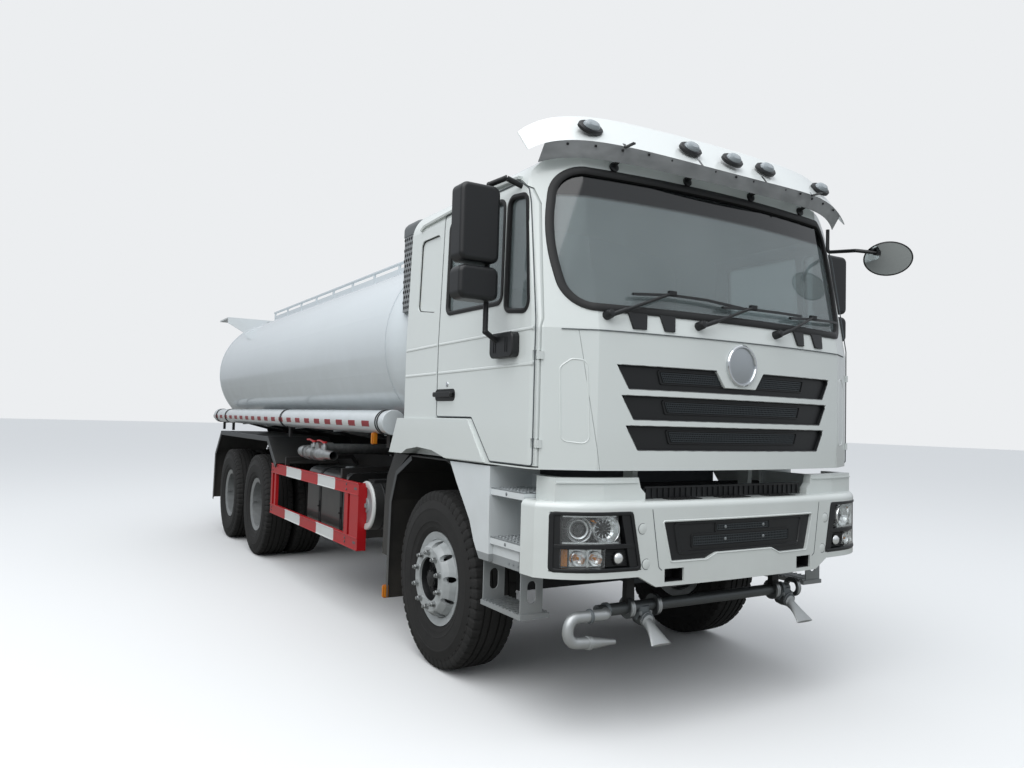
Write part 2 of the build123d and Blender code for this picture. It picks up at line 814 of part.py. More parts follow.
# Top rails: two bars on posts along the tank's crown
top_rail_x = 500
top_rail_z = tank_top_z + 100
rail_front_y = front_axle_y + 1000
rail_rear_y = front_axle_y + 6900
crown_radius = (tank_corner_x**2 + tank_corner_drop**2) / (2 * tank_corner_drop)
crown_drop_at_rail = crown_radius - math.sqrt(crown_radius**2 - (top_rail_x - 3) ** 2)
crown_z_at_rail = tank_top_z - crown_drop_at_rail + seat_gap
with BuildPart() as top_rails:
    for sign in (-1, 1):
        with BuildSketch(Plane.XZ.offset(-rail_front_y)):
            with Locations((sign * top_rail_x, top_rail_z)):
                Circle(16)
        extrude(amount=rail_front_y - rail_rear_y)
        with BuildSketch(Plane.XZ.offset(-rail_front_y)):
            with Locations((sign * top_rail_x, crown_z_at_rail + 50)):
                Rectangle(5, 100)
        extrude(amount=rail_front_y - rail_rear_y)
        count = 10
        for number in range(count):
            post_y = rail_front_y + 30 + number * (rail_rear_y - rail_front_y - 60) / (count - 1)
            with BuildSketch(Plane.XY.offset(crown_z_at_rail + 20)):
                with Locations((sign * top_rail_x, post_y)):
                    Rectangle(14, 40)
            extrude(amount=top_rail_z - crown_z_at_rail - 20)
top_rails.part.label = "top_rails"
export_step(top_rails.part, "parts/top_rails.step")


# Rear platform with its side gussets, and the ladder down the tank's back
deck_z = tank_top_z - 25
deck_front_y = front_axle_y + 7000
deck_rear_y = front_axle_y + 7560
deck_half_width = 1130
with BuildPart() as rear_platform:
    with BuildSketch(Plane.XY.offset(deck_z)):
        with Locations((0, (deck_front_y + deck_rear_y) / 2)):
            Rectangle(2 * deck_half_width, deck_rear_y - deck_front_y)
    extrude(amount=20)
    for sign in (-1, 1):
        with BuildSketch(Plane.XZ.offset(-deck_front_y)):
            with BuildLine():
                Polyline(
                    (sign * 560, deck_z + 4),
                    (sign * deck_half_width, deck_z + 4),
                    (sign * deck_half_width, deck_z - 60),
                    (sign * 850, 2712),
                    close=True,
                )
            make_face()
        extrude(amount=-14)
    extrude(tank_section(tank_front_y), amount=tank_front_y - tank_rear_y, mode=Mode.SUBTRACT)
    # Ladder stiles and rungs
    for stile_x in (-200, 200):
        with BuildSketch(Plane.XY.offset(900)):
            with Locations((stile_x, deck_rear_y - 25)):
                Circle(16)
        extrude(amount=deck_z - 900)
    for number in range(7):
        with BuildSketch(Plane.YZ.offset(-200)):
            with Locations((deck_rear_y - 25, 980 + number * 290)):
                Circle(12)
        extrude(amount=400)
rear_platform.part.label = "rear_platform"
export_step(rear_platform.part, "parts/rear_platform.step")


# Rear guard beam with the lamp clusters
with BuildPart() as rear_guard:
    with BuildSketch(Plane.YZ):
        with Locations((frame_rear_y + 60, 560)):
            Rectangle(80, 120)
    extrude(amount=1130, both=True)
    for sign in (-1, 1):
        with BuildSketch(Plane.YZ.offset(sign * (rail_outer_x + seat_gap))):
            with BuildLine():
                Polyline(
                    (frame_rear_y + 20, 520),
                    (frame_rear_y + 20, 820),
                    (frame_rear_y - 200, 860),
                    (frame_rear_y - 200, 1000),
                    (frame_rear_y, 1000),
                    (frame_rear_y + 100, 900),
                    (frame_rear_y + 100, 520),
                    close=True,
                )
            make_face()
        extrude(amount=sign * 10)
        with BuildSketch(Plane.XZ.offset(-frame_rear_y - 100)):
            with Locations((sign * 900, 672)):
                RectangleRounded(420, 120, 14)
        extrude(amount=70)
rear_guard.part.label = "rear_guard"
export_step(rear_guard.part, "parts/rear_guard.step")


# Front spray pipe on hangers under the beam, two duckbill nozzles and one curved nozzle
spray_y = front_axle_y - 1310
spray_z = 610
nozzle_x = 562
curl_y = front_axle_y - 1385
curl_x = -1060
with BuildPart() as spray_pipes:
    with BuildSketch(Plane.YZ.offset(-860)):
        with Locations((spray_y, spray_z)):
            Circle(32)
    extrude(amount=860 + 600)
    for x in (-650, 480):
        with BuildSketch(Plane.XY.offset(spray_z)):
            with Locations((x, spray_y)):
                Rectangle(60, 40)
        extrude(amount=819.7 - spray_z)
    for sign in (-1, 1):
        with BuildSketch(Plane.XZ.offset(-spray_y)):
            with Locations((sign * nozzle_x, spray_z - 62)):
                Circle(40)
        extrude(amount=60)
        with BuildSketch(Plane.XY.offset(spray_z)):
            with Locations((sign * nozzle_x, spray_y - 6)):
                Circle(30)
        extrude(amount=-62)
        bill = Plane(origin=(sign * nozzle_x, spray_y - 50, spray_z - 75), x_dir=(1, 0, 0), z_dir=(0, -0.8, -0.6))
        with BuildSketch(bill):
            Rectangle(56, 52)
        with BuildSketch(bill.offset(128)):
            Rectangle(132, 16)
        loft()
    with BuildSketch(Plane.XZ.offset(-spray_y)):
        with Locations((-840, spray_z)):
            Circle(30)
    extrude(amount=spray_y - curl_y)
    with BuildSketch(Plane.YZ.offset(-810)):
        with Locations((curl_y, spray_z)):
            Circle(30)
    extrude(amount=curl_x + 810)
    with BuildSketch(Plane.XY.offset(spray_z + 30)):
        with Locations((curl_x, curl_y)):
            Circle(30)
    extrude(amount=-150)
    with BuildSketch(Plane.XZ.offset(-curl_y - 20)):
        with Locations((curl_x, spray_z - 100)):
            Circle(30)
    extrude(amount=96, taper=5)
spray_pipes.part.label = "spray_pipes"
export_step(spray_pipes.part, "parts/spray_pipes.step")

valve_z = 1275
with BuildPart() as side_valves:
    with BuildSketch(Plane.YZ.offset(-1000)):
        with Locations((front_axle_y + 2600, valve_z)):
            Circle(50)
    extrude(amount=2000)
    for sign in (-1, 1):
        with BuildSketch(Plane.YZ.offset(sign * 1000)):
            with Locations((front_axle_y + 2600, valve_z)):
                Circle(60)
        extrude(amount=sign * 150)
        # Saddle down to the bearer
        with BuildSketch(Plane.XY.offset(bearer_top_z)):
            with Locations((sign * (rail_outer_x - rail_flange / 2), front_axle_y + 2600)):
                Rectangle(60, 60)
        extrude(amount=valve_z - bearer_top_z)
side_valves.part.label = "side_valves"
export_step(side_valves.part, "parts/side_valves.step")


# Front bumper: bowed shell with wrapped ends, lamp openings, grille opening and tow holes
bumper_front_y = front_axle_y - 1520
bumper_end_y = front_axle_y - 1160
bumper_top_z = 1190
bumper_bottom_z = 810
bumper_drop_z = 752
bumper_edge_radius = 34
filler_height = 118
filler_inner_x = 640
bumper_wall = 30
bumper_bracket_length = 90


def bumper_plan(z, inset=0, end_y=bumper_end_y):
    """Plan outline of the bumper's solid form at one height."""
    half = body_half_width - inset
    front = bumper_front_y + inset
    with BuildSketch(Plane.XY.offset(z)) as section:
        with BuildLine():
            arc = ThreePointArc((-900, front + 42), (0, front), (900, front + 42))
            left = TangentArc(arc @ 1, (half - 4, front + 240), tangent=arc % 1)
            right = TangentArc(arc @ 0, (-half + 4, front + 240), tangent=(arc % 0) * -1)
            Polyline(left @ 1, (half, end_y), (-half, end_y), right @ 1)
        make_face()
    return section.sketch


lamp_outer_x = body_half_width - 55
lamp_points = ((720, 845), (778, 1141), (lamp_outer_x, 1141), (lamp_outer_x, 845))
grille_points = ((-588, 1088), (588, 1088), (533, 873), (285, 873), (215, 903), (-215, 903), (-285, 873), (-533, 873))
with BuildPart() as front_bumper:
    extrude(bumper_plan(bumper_drop_z), amount=bumper_top_z - bumper_drop_z)
    top_edges = front_bumper.edges().group_by(Axis.Z)[-1].filter_by(lambda e: e.center().Y < bumper_end_y - 5)
    fillet(top_edges, bumper_edge_radius)
    extrude(
        bumper_plan(bumper_drop_z, bumper_wall, bumper_end_y + 200),
        amount=bumper_top_z - bumper_drop_z - 20,
        mode=Mode.SUBTRACT,
    )
    with BuildSketch(Plane.XY.offset(bumper_top_z - 20)):
        with Locations((0, bumper_end_y + 20)):
            Rectangle(2 * (body_half_width - 120), 360)
    extrude(amount=20, mode=Mode.SUBTRACT)
    # Under edge rises towards the ends
    for sign in (-1, 1):
        with BuildSketch(Plane.XZ.offset(-bumper_end_y - 200)):
            with BuildLine():
                Polyline(
                    (sign * 625, bumper_drop_z - 1),
                    (sign * 735, bumper_bottom_z),
                    (sign * 1400, bumper_bottom_z),
                    (sign * 1400, bumper_drop_z - 1),
                    close=True,
                )
            make_face()
        extrude(amount=900, both=True, mode=Mode.SUBTRACT)
        # Headlamp opening
        with BuildSketch(Plane.XZ.offset(-bumper_end_y)):
            with BuildLine():
                Polyline([(sign * x, z) for x, z in lamp_points], close=True)
            make_face()
        extrude(amount=500, mode=Mode.SUBTRACT)
        # Tow hole
        with BuildSketch(Plane.XZ.offset(-bumper_end_y)):
            with Locations((sign * 507, 806)):
                Rectangle(130, 70)
        extrude(amount=500, mode=Mode.SUBTRACT)
        # Bracket back to the front beam
        with BuildSketch(Plane.XZ.offset(-beam_y + beam_depth / 2 + seat_gap)):
            with Locations((sign * 640, beam_mid_z + 20)):
                Rectangle(60, 70)
        extrude(amount=bumper_bracket_length)
    # Grille opening
    with BuildSketch(Plane.XZ.offset(-bumper_end_y)):
        with BuildLine():
            Polyline(grille_points, close=True)
        make_face()
    extrude(amount=500, mode=Mode.SUBTRACT)
    # Filler boxes on top at both ends, under the cab's corners
    for sign in (-1, 1):
        with BuildSketch(Plane.XY.offset(bumper_top_z - 12)):
            with BuildLine():
                Polyline(
                    (sign * filler_inner_x, bumper_front_y + 100),
                    (sign * 900, bumper_front_y + 118),
                    (sign * (body_half_width - 85), bumper_front_y + 180),
                    (sign * (body_half_width - 85), bumper_end_y - 8),
                    (sign * (body_half_width - 145), bumper_end_y - 8),
                    (sign * (body_half_width - 145), bumper_front_y + 220),
                    (sign * 890, bumper_front_y + 168),
                    (sign * filler_inner_x, bumper_front_y + 150),
                    close=True,
                )
            make_face()
        extrude(amount=12 + filler_height)
    with BuildSketch(Plane.XZ.offset(-bumper_end_y)):
        for sign in (-1, 1):
            with BuildLine():
                Polyline(
                    (sign * (filler_inner_x - 5), bumper_top_z + filler_height + 1),
                    (sign * (filler_inner_x + 45), bumper_top_z + filler_height + 1),
                    (sign * (filler_inner_x + 30), bumper_top_z + filler_height - 55),
                    (sign * (filler_inner_x - 5), bumper_top_z + 30),
                    close=True,
                )
            make_face()
    extrude(amount=500, mode=Mode.SUBTRACT)
front_bumper.part.label = "front_bumper"
export_step(front_bumper.part, "parts/front_bumper.step")

# Bumper grille and headlamps sit in their openings, a little behind the bumper's face
with BuildPart() as bumper_grille:
    extrude(bumper_plan(bumper_drop_z, 14), amount=bumper_top_z - bumper_drop_z)
    extrude(bumper_plan(bumper_drop_z, 28, bumper_end_y + 200), amount=bumper_top_z - bumper_drop_z, mode=Mode.SUBTRACT)
    with BuildSketch(Plane.XZ.offset(-bumper_end_y)):
        with BuildLine():
            Polyline(
                [(x - math.copysign(seat_gap, x), z + math.copysign(seat_gap, 1000 - z)) for x, z in grille_points],
                close=True,
            )
        make_face()
    extrude(amount=500, mode=Mode.INTERSECT)
    # Slatted strip on the bumper's top, between the filler boxes
    with BuildSketch(Plane.XZ.offset(-bumper_front_y - 165)):
        with Locations((0, bumper_top_z + seat_gap + 33)):
            Rectangle(2 * filler_inner_x - 50, 66)
    extrude(amount=18)
bumper_grille.part.label = "bumper_grille"
export_step(bumper_grille.part, "parts/bumper_grille.step")

with BuildPart() as headlamps:
    extrude(bumper_plan(bumper_drop_z, 6), amount=bumper_top_z - bumper_drop_z)
    with BuildSketch(Plane.XZ.offset(-bumper_front_y - 215)):
        for sign in (-1, 1):
            with BuildLine():
                Polyline(
                    [
                        (sign * (x + seat_gap * (1 if x < 1000 else -1)), z + seat_gap * (1 if z < 1000 else -1))
                        for x, z in lamp_points
                    ],
                    close=True,
                )
            make_face()
    extrude(amount=500, mode=Mode.INTERSECT)
headlamps.part.label = "headlamps"
export_step(headlamps.part, "parts/headlamps.step")


# Boarding steps: skirt in front of the wheel, two treads in a recess and a hanging step
step_outer_x = body_half_width - 18
step_inner_x = body_half_width - 285
skirt_front_y = front_axle_y - 812
skirt_bottom_z = 812
skirt_top_z = cab_floor_z - 12
skirt_outline = (
    # rearwards of the front axle, height
    (-320, skirt_top_z),
    (-414, 1213),
    (-505, 1110),
    (-590, 1010),
    (-645, 900),
    (-712, skirt_bottom_z),
    (-822, skirt_bottom_z),
    (-812, skirt_top_z),
)
tread_tops = (1210, 942)
tread_thickness = 32
hanger_outer_x = body_half_width - 52
hanger_width = 138
hanger_ys = (front_axle_y - 690, front_axle_y - 1086)
hanger_top_z = 802
hanging_tread_z = 575
with BuildPart() as boarding_steps:
    for sign in (-1, 1):
        # Skirt
        with BuildSketch(Plane.YZ.offset(sign * (body_half_width - 8))):
            with BuildLine():
                Polyline([(front_axle_y + y, z) for y, z in skirt_outline], close=True)
            make_face()
        extrude(amount=-sign * 330)
        # Back wall of the recess, treads and brackets to the frame
        with BuildSketch(Plane.XY.offset(850)):
            with Locations((sign * (step_inner_x - 10), (skirt_front_y + bumper_end_y) / 2)):
                Rectangle(20, bumper_end_y - skirt_front_y)
        extrude(amount=440)
        for tread_top_z in tread_tops:
            with BuildSketch(Plane.XY.offset(tread_top_z)):
                with Locations((sign * (step_outer_x + step_inner_x) / 2, (skirt_front_y + bumper_end_y + 6) / 2)):
                    Rectangle(step_outer_x - step_inner_x, skirt_front_y - bumper_end_y - 6)
            extrude(amount=-tread_thickness)
        with BuildSketch(Plane.XZ.offset(-skirt_front_y + 60)):
            with Locations((sign * (rail_outer_x + step_inner_x) / 2, 1000)):
                Rectangle(step_inner_x - rail_outer_x, 80)
        extrude(amount=40)
        # Support under the lower tread, and the hanging step on its two plates
        with BuildSketch(Plane.XY.offset(hanger_top_z)):
            with Locations((sign * (hanger_outer_x - hanger_width / 2), front_axle_y - 888)):
                Rectangle(hanger_width + 30, 410)
                Rectangle(hanger_width - 50, 340, mode=Mode.SUBTRACT)
        extrude(amount=tread_tops[1] - tread_thickness / 2 - hanger_top_z)
        for plate_y in hanger_ys:
            with BuildSketch(Plane.XZ.offset(-plate_y)):
                with Locations((sign * (hanger_outer_x - hanger_width / 2), (hanger_top_z + hanging_tread_z) / 2)):
                    Rectangle(hanger_width, hanger_top_z - hanging_tread_z + 20)
                    SlotCenterToCenter(62, 56, rotation=90, mode=Mode.SUBTRACT)
            extrude(amount=8)
        with BuildSketch(Plane.XY.offset(hanging_tread_z)):
            with Locations((sign * (hanger_outer_x - 85), (hanger_ys[0] + hanger_ys[1]) / 2 - 4)):
                Rectangle(182, hanger_ys[0] - hanger_ys[1] + 30)
        extrude(amount=-26)
boarding_steps.part.label = "boarding_steps"
export_step(boarding_steps.part, "parts/boarding_steps.step")


# Cab form: a bowed plan extruded up to the belt, then leaning back above it,
# trimmed by the front view and the side view
front_y = front_axle_y - 1476
lean = 0.2
roof_crown_z = 3090
roof_edge_z = 2900
side_top_x = body_half_width - 23
floor_top_z = cab_floor_z + 65


def cab_plan(z, inset):
    """Bowed plan of the cab, moved inwards by inset."""
    half = body_half_width - inset
    nose = front_y + inset
    rear = cab_rear_y - inset
    corner_y = nose + 76
    with BuildSketch(Plane.XY.offset(z)) as section:
        with BuildLine():
            arc = ThreePointArc((-950 + inset / 3, corner_y), (0, nose), (950 - inset / 3, corner_y))
            left = Line(arc @ 1, (half - 40, nose + 205))
            left_end = ThreePointArc(left @ 1, (half - 10, nose + 235), (half, nose + 275))
            right = Line(arc @ 0, (-half + 40, nose + 205))
            right_end = ThreePointArc(right @ 1, (-half + 10, nose + 235), (-half, nose + 275))
            Polyline(left_end @ 1, (half, rear), (-half, rear), right_end @ 1)
        make_face()
    return section.sketch


def cab_form(inset, floor_z):
    """Solid of the cab, moved inwards by inset: plan, front view and side view crossed."""
    half = body_half_width - inset
    nose = front_y + inset
    rear = cab_rear_y - inset
    lower_plan = cab_plan(floor_z, inset)
    upper_plan = cab_plan(belt_z, inset)
    with BuildPart() as form:
        extrude(lower_plan, amount=belt_z - floor_z)
        extrude(upper_plan, amount=1150, dir=(0, lean, 1))
        # Front view: upright to the belt, leaning in above it, crowned roof
        with BuildSketch(Plane.XZ.offset(-front_axle_y)):
            with BuildLine():
                top_x = side_top_x - inset
                edge_z = roof_edge_z - inset
                roof = ThreePointArc((-980, roof_crown_z - 70 - inset), (0, roof_crown_z - inset), (980, roof_crown_z - 70 - inset))
                left = ThreePointArc(roof @ 1, (top_x - 62, edge_z + 66), (top_x, edge_z - 60))
                right = ThreePointArc(roof @ 0, (-top_x + 62, edge_z + 66), (-top_x, edge_z - 60))
                Polyline(left @ 1, (half, belt_z), (half, floor_z), (-half, floor_z), (-half, belt_z), right @ 1)
            make_face()
        extrude(amount=2500, both=True, mode=Mode.INTERSECT)
        # Side view: upright rear wall
        with BuildSketch(Plane.YZ):
            with BuildLine():
                Polyline(
                    (nose - 50, floor_z),
                    (nose - 50, 3400),
                    (rear, 3400),
                    (rear, floor_z),
                    close=True,
                )
            make_face()
        extrude(amount=1400, both=True, mode=Mode.INTERSECT)
    return form.part


screen_side_x = body_half_width - 95
screen_outline = (
    (-screen_side_x + 65, 2190),
    (screen_side_x - 65, 2190),
    (screen_side_x, 2559),
    (screen_side_x - 65, 2935),
    (-screen_side_x + 65, 2935),
    (-screen_side_x, 2559),
)
screen_corner_radius = 165
window_corner_radius = 48
arch_outline = (
    # opening over the front wheel: rearwards of the front axle, height
    (-335, 1300),
    (-270, 1352),
    (-100, 1388),
    (120, 1400),
    (300, 1378),
    (400, 1338),
    (440, 1300),
)
blank_window = ((-72, 2262), (-72, 2775), (225, 2775), (225, 2300))
door_outline = (
    # rearwards of the front axle, height
    (-1258, cab_floor_z + 15),
    (-815, cab_floor_z + 15),
    (-590, 1600),
    (-125, 1600),
    (-125, 2880),
    (-1030, 2880),
    (-1120, 2820),
    (-1150, 2740),
    (-1258, belt_z + 40),
)
quarter_window = ((-1178, 2160), (-1105, 2790), (-925, 2810), (-940, 2185))
main_window = ((-895, 2235), (-875, 2810), (-215, 2810), (-225, 2240))
tilt_arm_outline = (
    # rearwards of the pivot, height above it: cranked, so that the tilted arm clears the bumper's top
    (-25, 30),
    (165, 70),
    (240, 140),
    (225, 380),
    (315, 380),
    (315, 115),
    (180, -3),
    (-10, -43),
)
tunnel_half_width = 420
tunnel_top_z = 1600


door_inner_x = side_top_x - cab_wall - 15
hinge_x = body_half_width - 23
hinge_y = front_axle_y - 1248
hinge_pin_radius = 7
hinge_height = 50
hinge_zs = (1450, 1900)
panel_outline = (
    (-932, cab_floor_z),
    (-body_half_width + 200, belt_z - 10),
    (body_half_width - 200, belt_z - 10),
    (932, cab_floor_z),
)
outer_form = cab_form(0, cab_floor_z)
recess_form = cab_form(30, cab_floor_z)
panel_inner = cab_form(30 - seat_gap, cab_floor_z - 10)
insert_outer = cab_form(20, cab_floor_z)
inner_form = cab_form(cab_wall, floor_top_z)
screen_outer = cab_form(14, cab_floor_z)
screen_inner = cab_form(22, cab_floor_z)

with BuildPart() as cab_shell:
    add(outer_form)
    add(inner_form, mode=Mode.SUBTRACT)
    # Recess that the front panel sits in
    with BuildSketch(Plane.XZ.offset(-front_axle_y + 1200)):
        with BuildLine():
            Polyline(panel_outline, close=True)
        make_face()
    recess = extrude(amount=900, mode=Mode.PRIVATE) - recess_form
    add(recess, mode=Mode.SUBTRACT)
    # Recessed blank windows behind the doors
    for sign in (-1, 1):
        with BuildSketch(Plane.YZ.offset(sign * (side_top_x - 120))) as blank:
            with BuildLine():
                Polyline([(front_axle_y + y, z) for y, z in blank_window], close=True)
            make_face()
            fillet(blank.vertices(), window_corner_radius)
        blank_recess = extrude(amount=sign * 300, mode=Mode.PRIVATE) - screen_outer
        add(blank_recess, mode=Mode.SUBTRACT)
    # Engine tunnel, open below and to the rear
    with BuildSketch(Plane.XZ.offset(-cab_rear_y)):
        with Locations((0, cab_floor_z)):
            Rectangle(2 * tunnel_half_width + 40, 2 * (tunnel_top_z + 20 - cab_floor_z))
    extrude(amount=1650)
    with BuildSketch(Plane.XZ.offset(-cab_rear_y - 1)):
        with Locations((0, cab_floor_z - 100)):
            Rectangle(2 * tunnel_half_width, 2 * (tunnel_top_z - cab_floor_z + 100))
    extrude(amount=1600, mode=Mode.SUBTRACT)
    with BuildSketch(Plane.XY.offset(cab_floor_z)):
        Rectangle(4000, 12000)
    extrude(amount=-600, mode=Mode.SUBTRACT)
    # Door openings
    with BuildSketch(Plane.YZ):
        with BuildLine():
            Polyline([(front_axle_y + y, z) for y, z in door_outline], close=True)
        make_face()
        offset(amount=door_gap, kind=Kind.INTERSECTION)
    extrude(amount=1400, both=True, mode=Mode.SUBTRACT)
    # Hinge lugs that reach into the doors' notches
    for sign in (-1, 1):
        for hinge_z in hinge_zs:
            with BuildSketch(Plane.XY.offset(hinge_z + 4)):
                with Locations((sign * (hinge_x - 5), hinge_y - 14)):
                    Rectangle(22, 28)
                with Locations((sign * hinge_x, hinge_y)):
                    Circle(11)
                    Circle(hinge_pin_radius + seat_gap, mode=Mode.SUBTRACT)
            extrude(amount=hinge_height - 8)
        # Tilting arm down to the pin on the frame
        with BuildSketch(Plane.YZ.offset(sign * tilt_arm_x)):
            with BuildLine():
                Polyline([(cab_pivot_y + y, cab_pivot_z + z) for y, z in tilt_arm_outline], close=True)
            make_face()
            with Locations((cab_pivot_y, cab_pivot_z)):
                Circle(38)
                Circle(tilt_pin_radius + seat_gap, mode=Mode.SUBTRACT)
        extrude(amount=sign * tilt_arm_width)
        # Pad on the rest under the cab's rear
        with BuildSketch(Plane.XY.offset(cab_floor_z + seat_gap)):
            with Locations((sign * (rail_outer_x + 20), cab_rear_y - 60)):
                Rectangle(60, 100)
        extrude(amount=60)
    # Arches over the front wheels
    for sign in (-1, 1):
        with BuildSketch(Plane.YZ.offset(sign * (body_half_width - 100))):
            with BuildLine():
                Polyline([(front_axle_y + y, z) for y, z in arch_outline], close=True)
            make_face()
        extrude(amount=sign * 120, mode=Mode.SUBTRACT)
    # Windscreen opening
    with BuildSketch(Plane.XZ.offset(-front_axle_y + 1100)) as screen_opening:
        with BuildLine():
            Polyline(screen_outline, close=True)
        make_face()
        fillet(screen_opening.vertices(), screen_corner_radius)
    extrude(amount=900, mode=Mode.SUBTRACT)
cab_shell.part.label = "cab_shell"
export_step(cab_shell.part, "parts/cab_shell.step")

with BuildPart() as windscreen:
    add(screen_outer)
    add(screen_inner, mode=Mode.SUBTRACT)
    with BuildSketch(Plane.XZ.offset(-front_axle_y + 1100)) as pane:
        with BuildLine():
            Polyline([(x - math.copysign(seat_gap, x), z - math.copysign(seat_gap, z - 2560)) for x, z in screen_outline], close=True)
        make_face()
        fillet(pane.vertices(), screen_corner_radius)
    extrude(amount=900, mode=Mode.INTERSECT)
windscreen.part.label = "windscreen"
export_step(windscreen.part, "parts/windscreen.step")

# Doors with their glass and mirrors
mirror_pole_y = front_axle_y - 930
mirror_pole_radius = 15
for side, sign in SIDES:
    with BuildPart() as door:
        add(outer_form)
        add(inner_form, mode=Mode.SUBTRACT)
        with BuildSketch(Plane.YZ.offset(sign * door_inner_x)):
            with BuildLine():
                Polyline([(front_axle_y + y, z) for y, z in door_outline], close=True)
            make_face()
        extrude(amount=sign * 300, mode=Mode.INTERSECT)
        with BuildSketch(Plane.YZ) as openings:
            for window in (quarter_window, main_window):
                with BuildLine():
                    Polyline([(front_axle_y + y, z) for y, z in window], close=True)
                make_face()
            fillet(openings.vertices(), window_corner_radius)
        extrude(amount=sign * 1400, mode=Mode.SUBTRACT)
        # Hinge notches with their pins
        for hinge_z in hinge_zs:
            with BuildSketch(Plane.XY.offset(hinge_z)):
                with Locations((sign * (hinge_x - 5), hinge_y - 10)):
                    Rectangle(100, 66)
            extrude(amount=hinge_height, mode=Mode.SUBTRACT)
            with BuildSketch(Plane.XY.offset(hinge_z - 8)):
                with Locations((sign * hinge_x, hinge_y)):
                    Circle(hinge_pin_radius)
            extrude(amount=hinge_height + 16)
        # Bracket for the mirror's lower arm
        with BuildSketch(Plane.YZ.offset(sign * (body_half_width - 20))):
            with Locations((mirror_pole_y - 50, 1990)):
                RectangleRounded(230, 126, 30)
        extrude(amount=sign * 62)
    door.part.label = f"door_{side}"
    export_step(door.part, f"parts/door_{side}.step")

    with BuildPart() as door_glass:
        add(screen_outer)
        add(screen_inner, mode=Mode.SUBTRACT)
        with BuildSketch(Plane.YZ.offset(sign * door_inner_x)) as panes:
            for window in (quarter_window, main_window):
                with BuildLine():
                    Polyline([(front_axle_y + y, z) for y, z in window], close=True)
                make_face()
            fillet(panes.vertices(), window_corner_radius)
        extrude(amount=sign * 300, mode=Mode.INTERSECT)
    door_glass.part.label = f"door_glass_{side}"
    export_step(door_glass.part, f"parts/door_glass_{side}.step")

with BuildPart() as mirror_left:
    for low_z, high_z in ((2415, 2830), (2215, 2395)):
        with BuildSketch(Plane.XZ.offset(-mirror_pole_y - 22)):
            with Locations((body_half_width + 205, (low_z + high_z) / 2)):
                RectangleRounded(236, high_z - low_z, 42)
        extrude(amount=115)
    fillet(mirror_left.edges().group_by(Axis.Y)[0], 24)
    # Pole at the housings' inner edges, bent in to the door below and forward to its top frame above
    pole_x = body_half_width + 113
    with BuildSketch(Plane.XY.offset(2060)):
        with Locations((pole_x, mirror_pole_y)):
            Circle(mirror_pole_radius)
    extrude(amount=800)
    arm_runs = (
        ((body_half_width + 17, mirror_pole_y, 2000), (pole_x, mirror_pole_y, 2060)),
        ((pole_x, mirror_pole_y, 2860), (body_half_width + 60, mirror_pole_y - 90, 2884)),
        ((body_half_width + 60, mirror_pole_y - 90, 2884), (body_half_width - 30, mirror_pole_y - 110, 2850)),
    )
    for start, end in arm_runs:
        with BuildSketch(Plane(origin=start, z_dir=[e - s for s, e in zip(start, end)])):
            Circle(mirror_pole_radius)
        extrude(amount=math.dist(start, end))
        with Locations(start, end):
            Sphere(mirror_pole_radius + 1)
    add(outer_form, mode=Mode.SUBTRACT)
    add(door.part, mode=Mode.SUBTRACT)
mirror_left.part.label = "mirror_left"
export_step(mirror_left.part, "parts/mirror_left.step")

with BuildPart() as mirror_right:
    add(mirror(mirror_left.part, about=Plane.YZ))
mirror_right.part.label = "mirror_right"
export_step(mirror_right.part, "parts/mirror_right.step")


# Front panel: bowed skin over the nose with three slots, and the inserts behind them
slot_rows = (
    # top z, bottom z, half width at the top
    (1894, 1768, 845),
    (1736, 1609, 814),
    (1579, 1450, 786),
)
panel_gap = 3
with BuildPart() as front_panel:
    add(outer_form)
    add(panel_inner, mode=Mode.SUBTRACT)
    with BuildSketch(Plane.XZ.offset(-front_axle_y + 1200)):
        with BuildLine():
            Polyline([(x - math.copysign(panel_gap, x), z) for x, z in panel_outline], close=True)
        make_face()
        for top_z, bottom_z, half in slot_rows:
            with BuildLine():
                Polyline((-half, top_z), (half, top_z), (half - 75, bottom_z), (-half + 75, bottom_z), close=True)
            make_face(mode=Mode.SUBTRACT)
    extrude(amount=900, mode=Mode.INTERSECT)
front_panel.part.label = "front_panel"
export_step(front_panel.part, "parts/front_panel.step")

with BuildPart() as grille_inserts:
    add(insert_outer)
    add(panel_inner, mode=Mode.SUBTRACT)
    with BuildSketch(Plane.XZ.offset(-front_axle_y + 1200)):
        for top_z, bottom_z, half in slot_rows:
            with BuildLine():
                Polyline(
                    (-half + seat_gap, top_z - seat_gap),
                    (half - seat_gap, top_z - seat_gap),
                    (half - 75 - seat_gap, bottom_z + seat_gap),
                    (-half + 75 + seat_gap, bottom_z + seat_gap),
                    close=True,
                )
            make_face()
    extrude(amount=900, mode=Mode.INTERSECT)
grille_inserts.part.label = "grille_inserts"
export_step(grille_inserts.part, "parts/grille_inserts.step")


# Sun visor: bowed white wing over the windscreen with a smoked strip along its lower edge
visor_stations = (
    # half width, then rearwards of the front axle and height of the top edge, of the line
    # between wing and strip, and of the strip's lower edge
    (0, (-1250, 3262), (-1420, 3045), (-1388, 2972)),
    (620, (-1225, 3262), (-1372, 3066), (-1335, 2988)),
    (body_half_width - 215, (-1150, 3240), (-1278, 3072), (-1240, 2988)),
    (body_half_width - 45, (-1110, 3180), (-1228, 3036), (-1168, 2950)),
)
visor_tip = (body_half_width + 40, (-1092, 3118), (-1202, 2992), (-1160, 2940))
visor_wall = 9


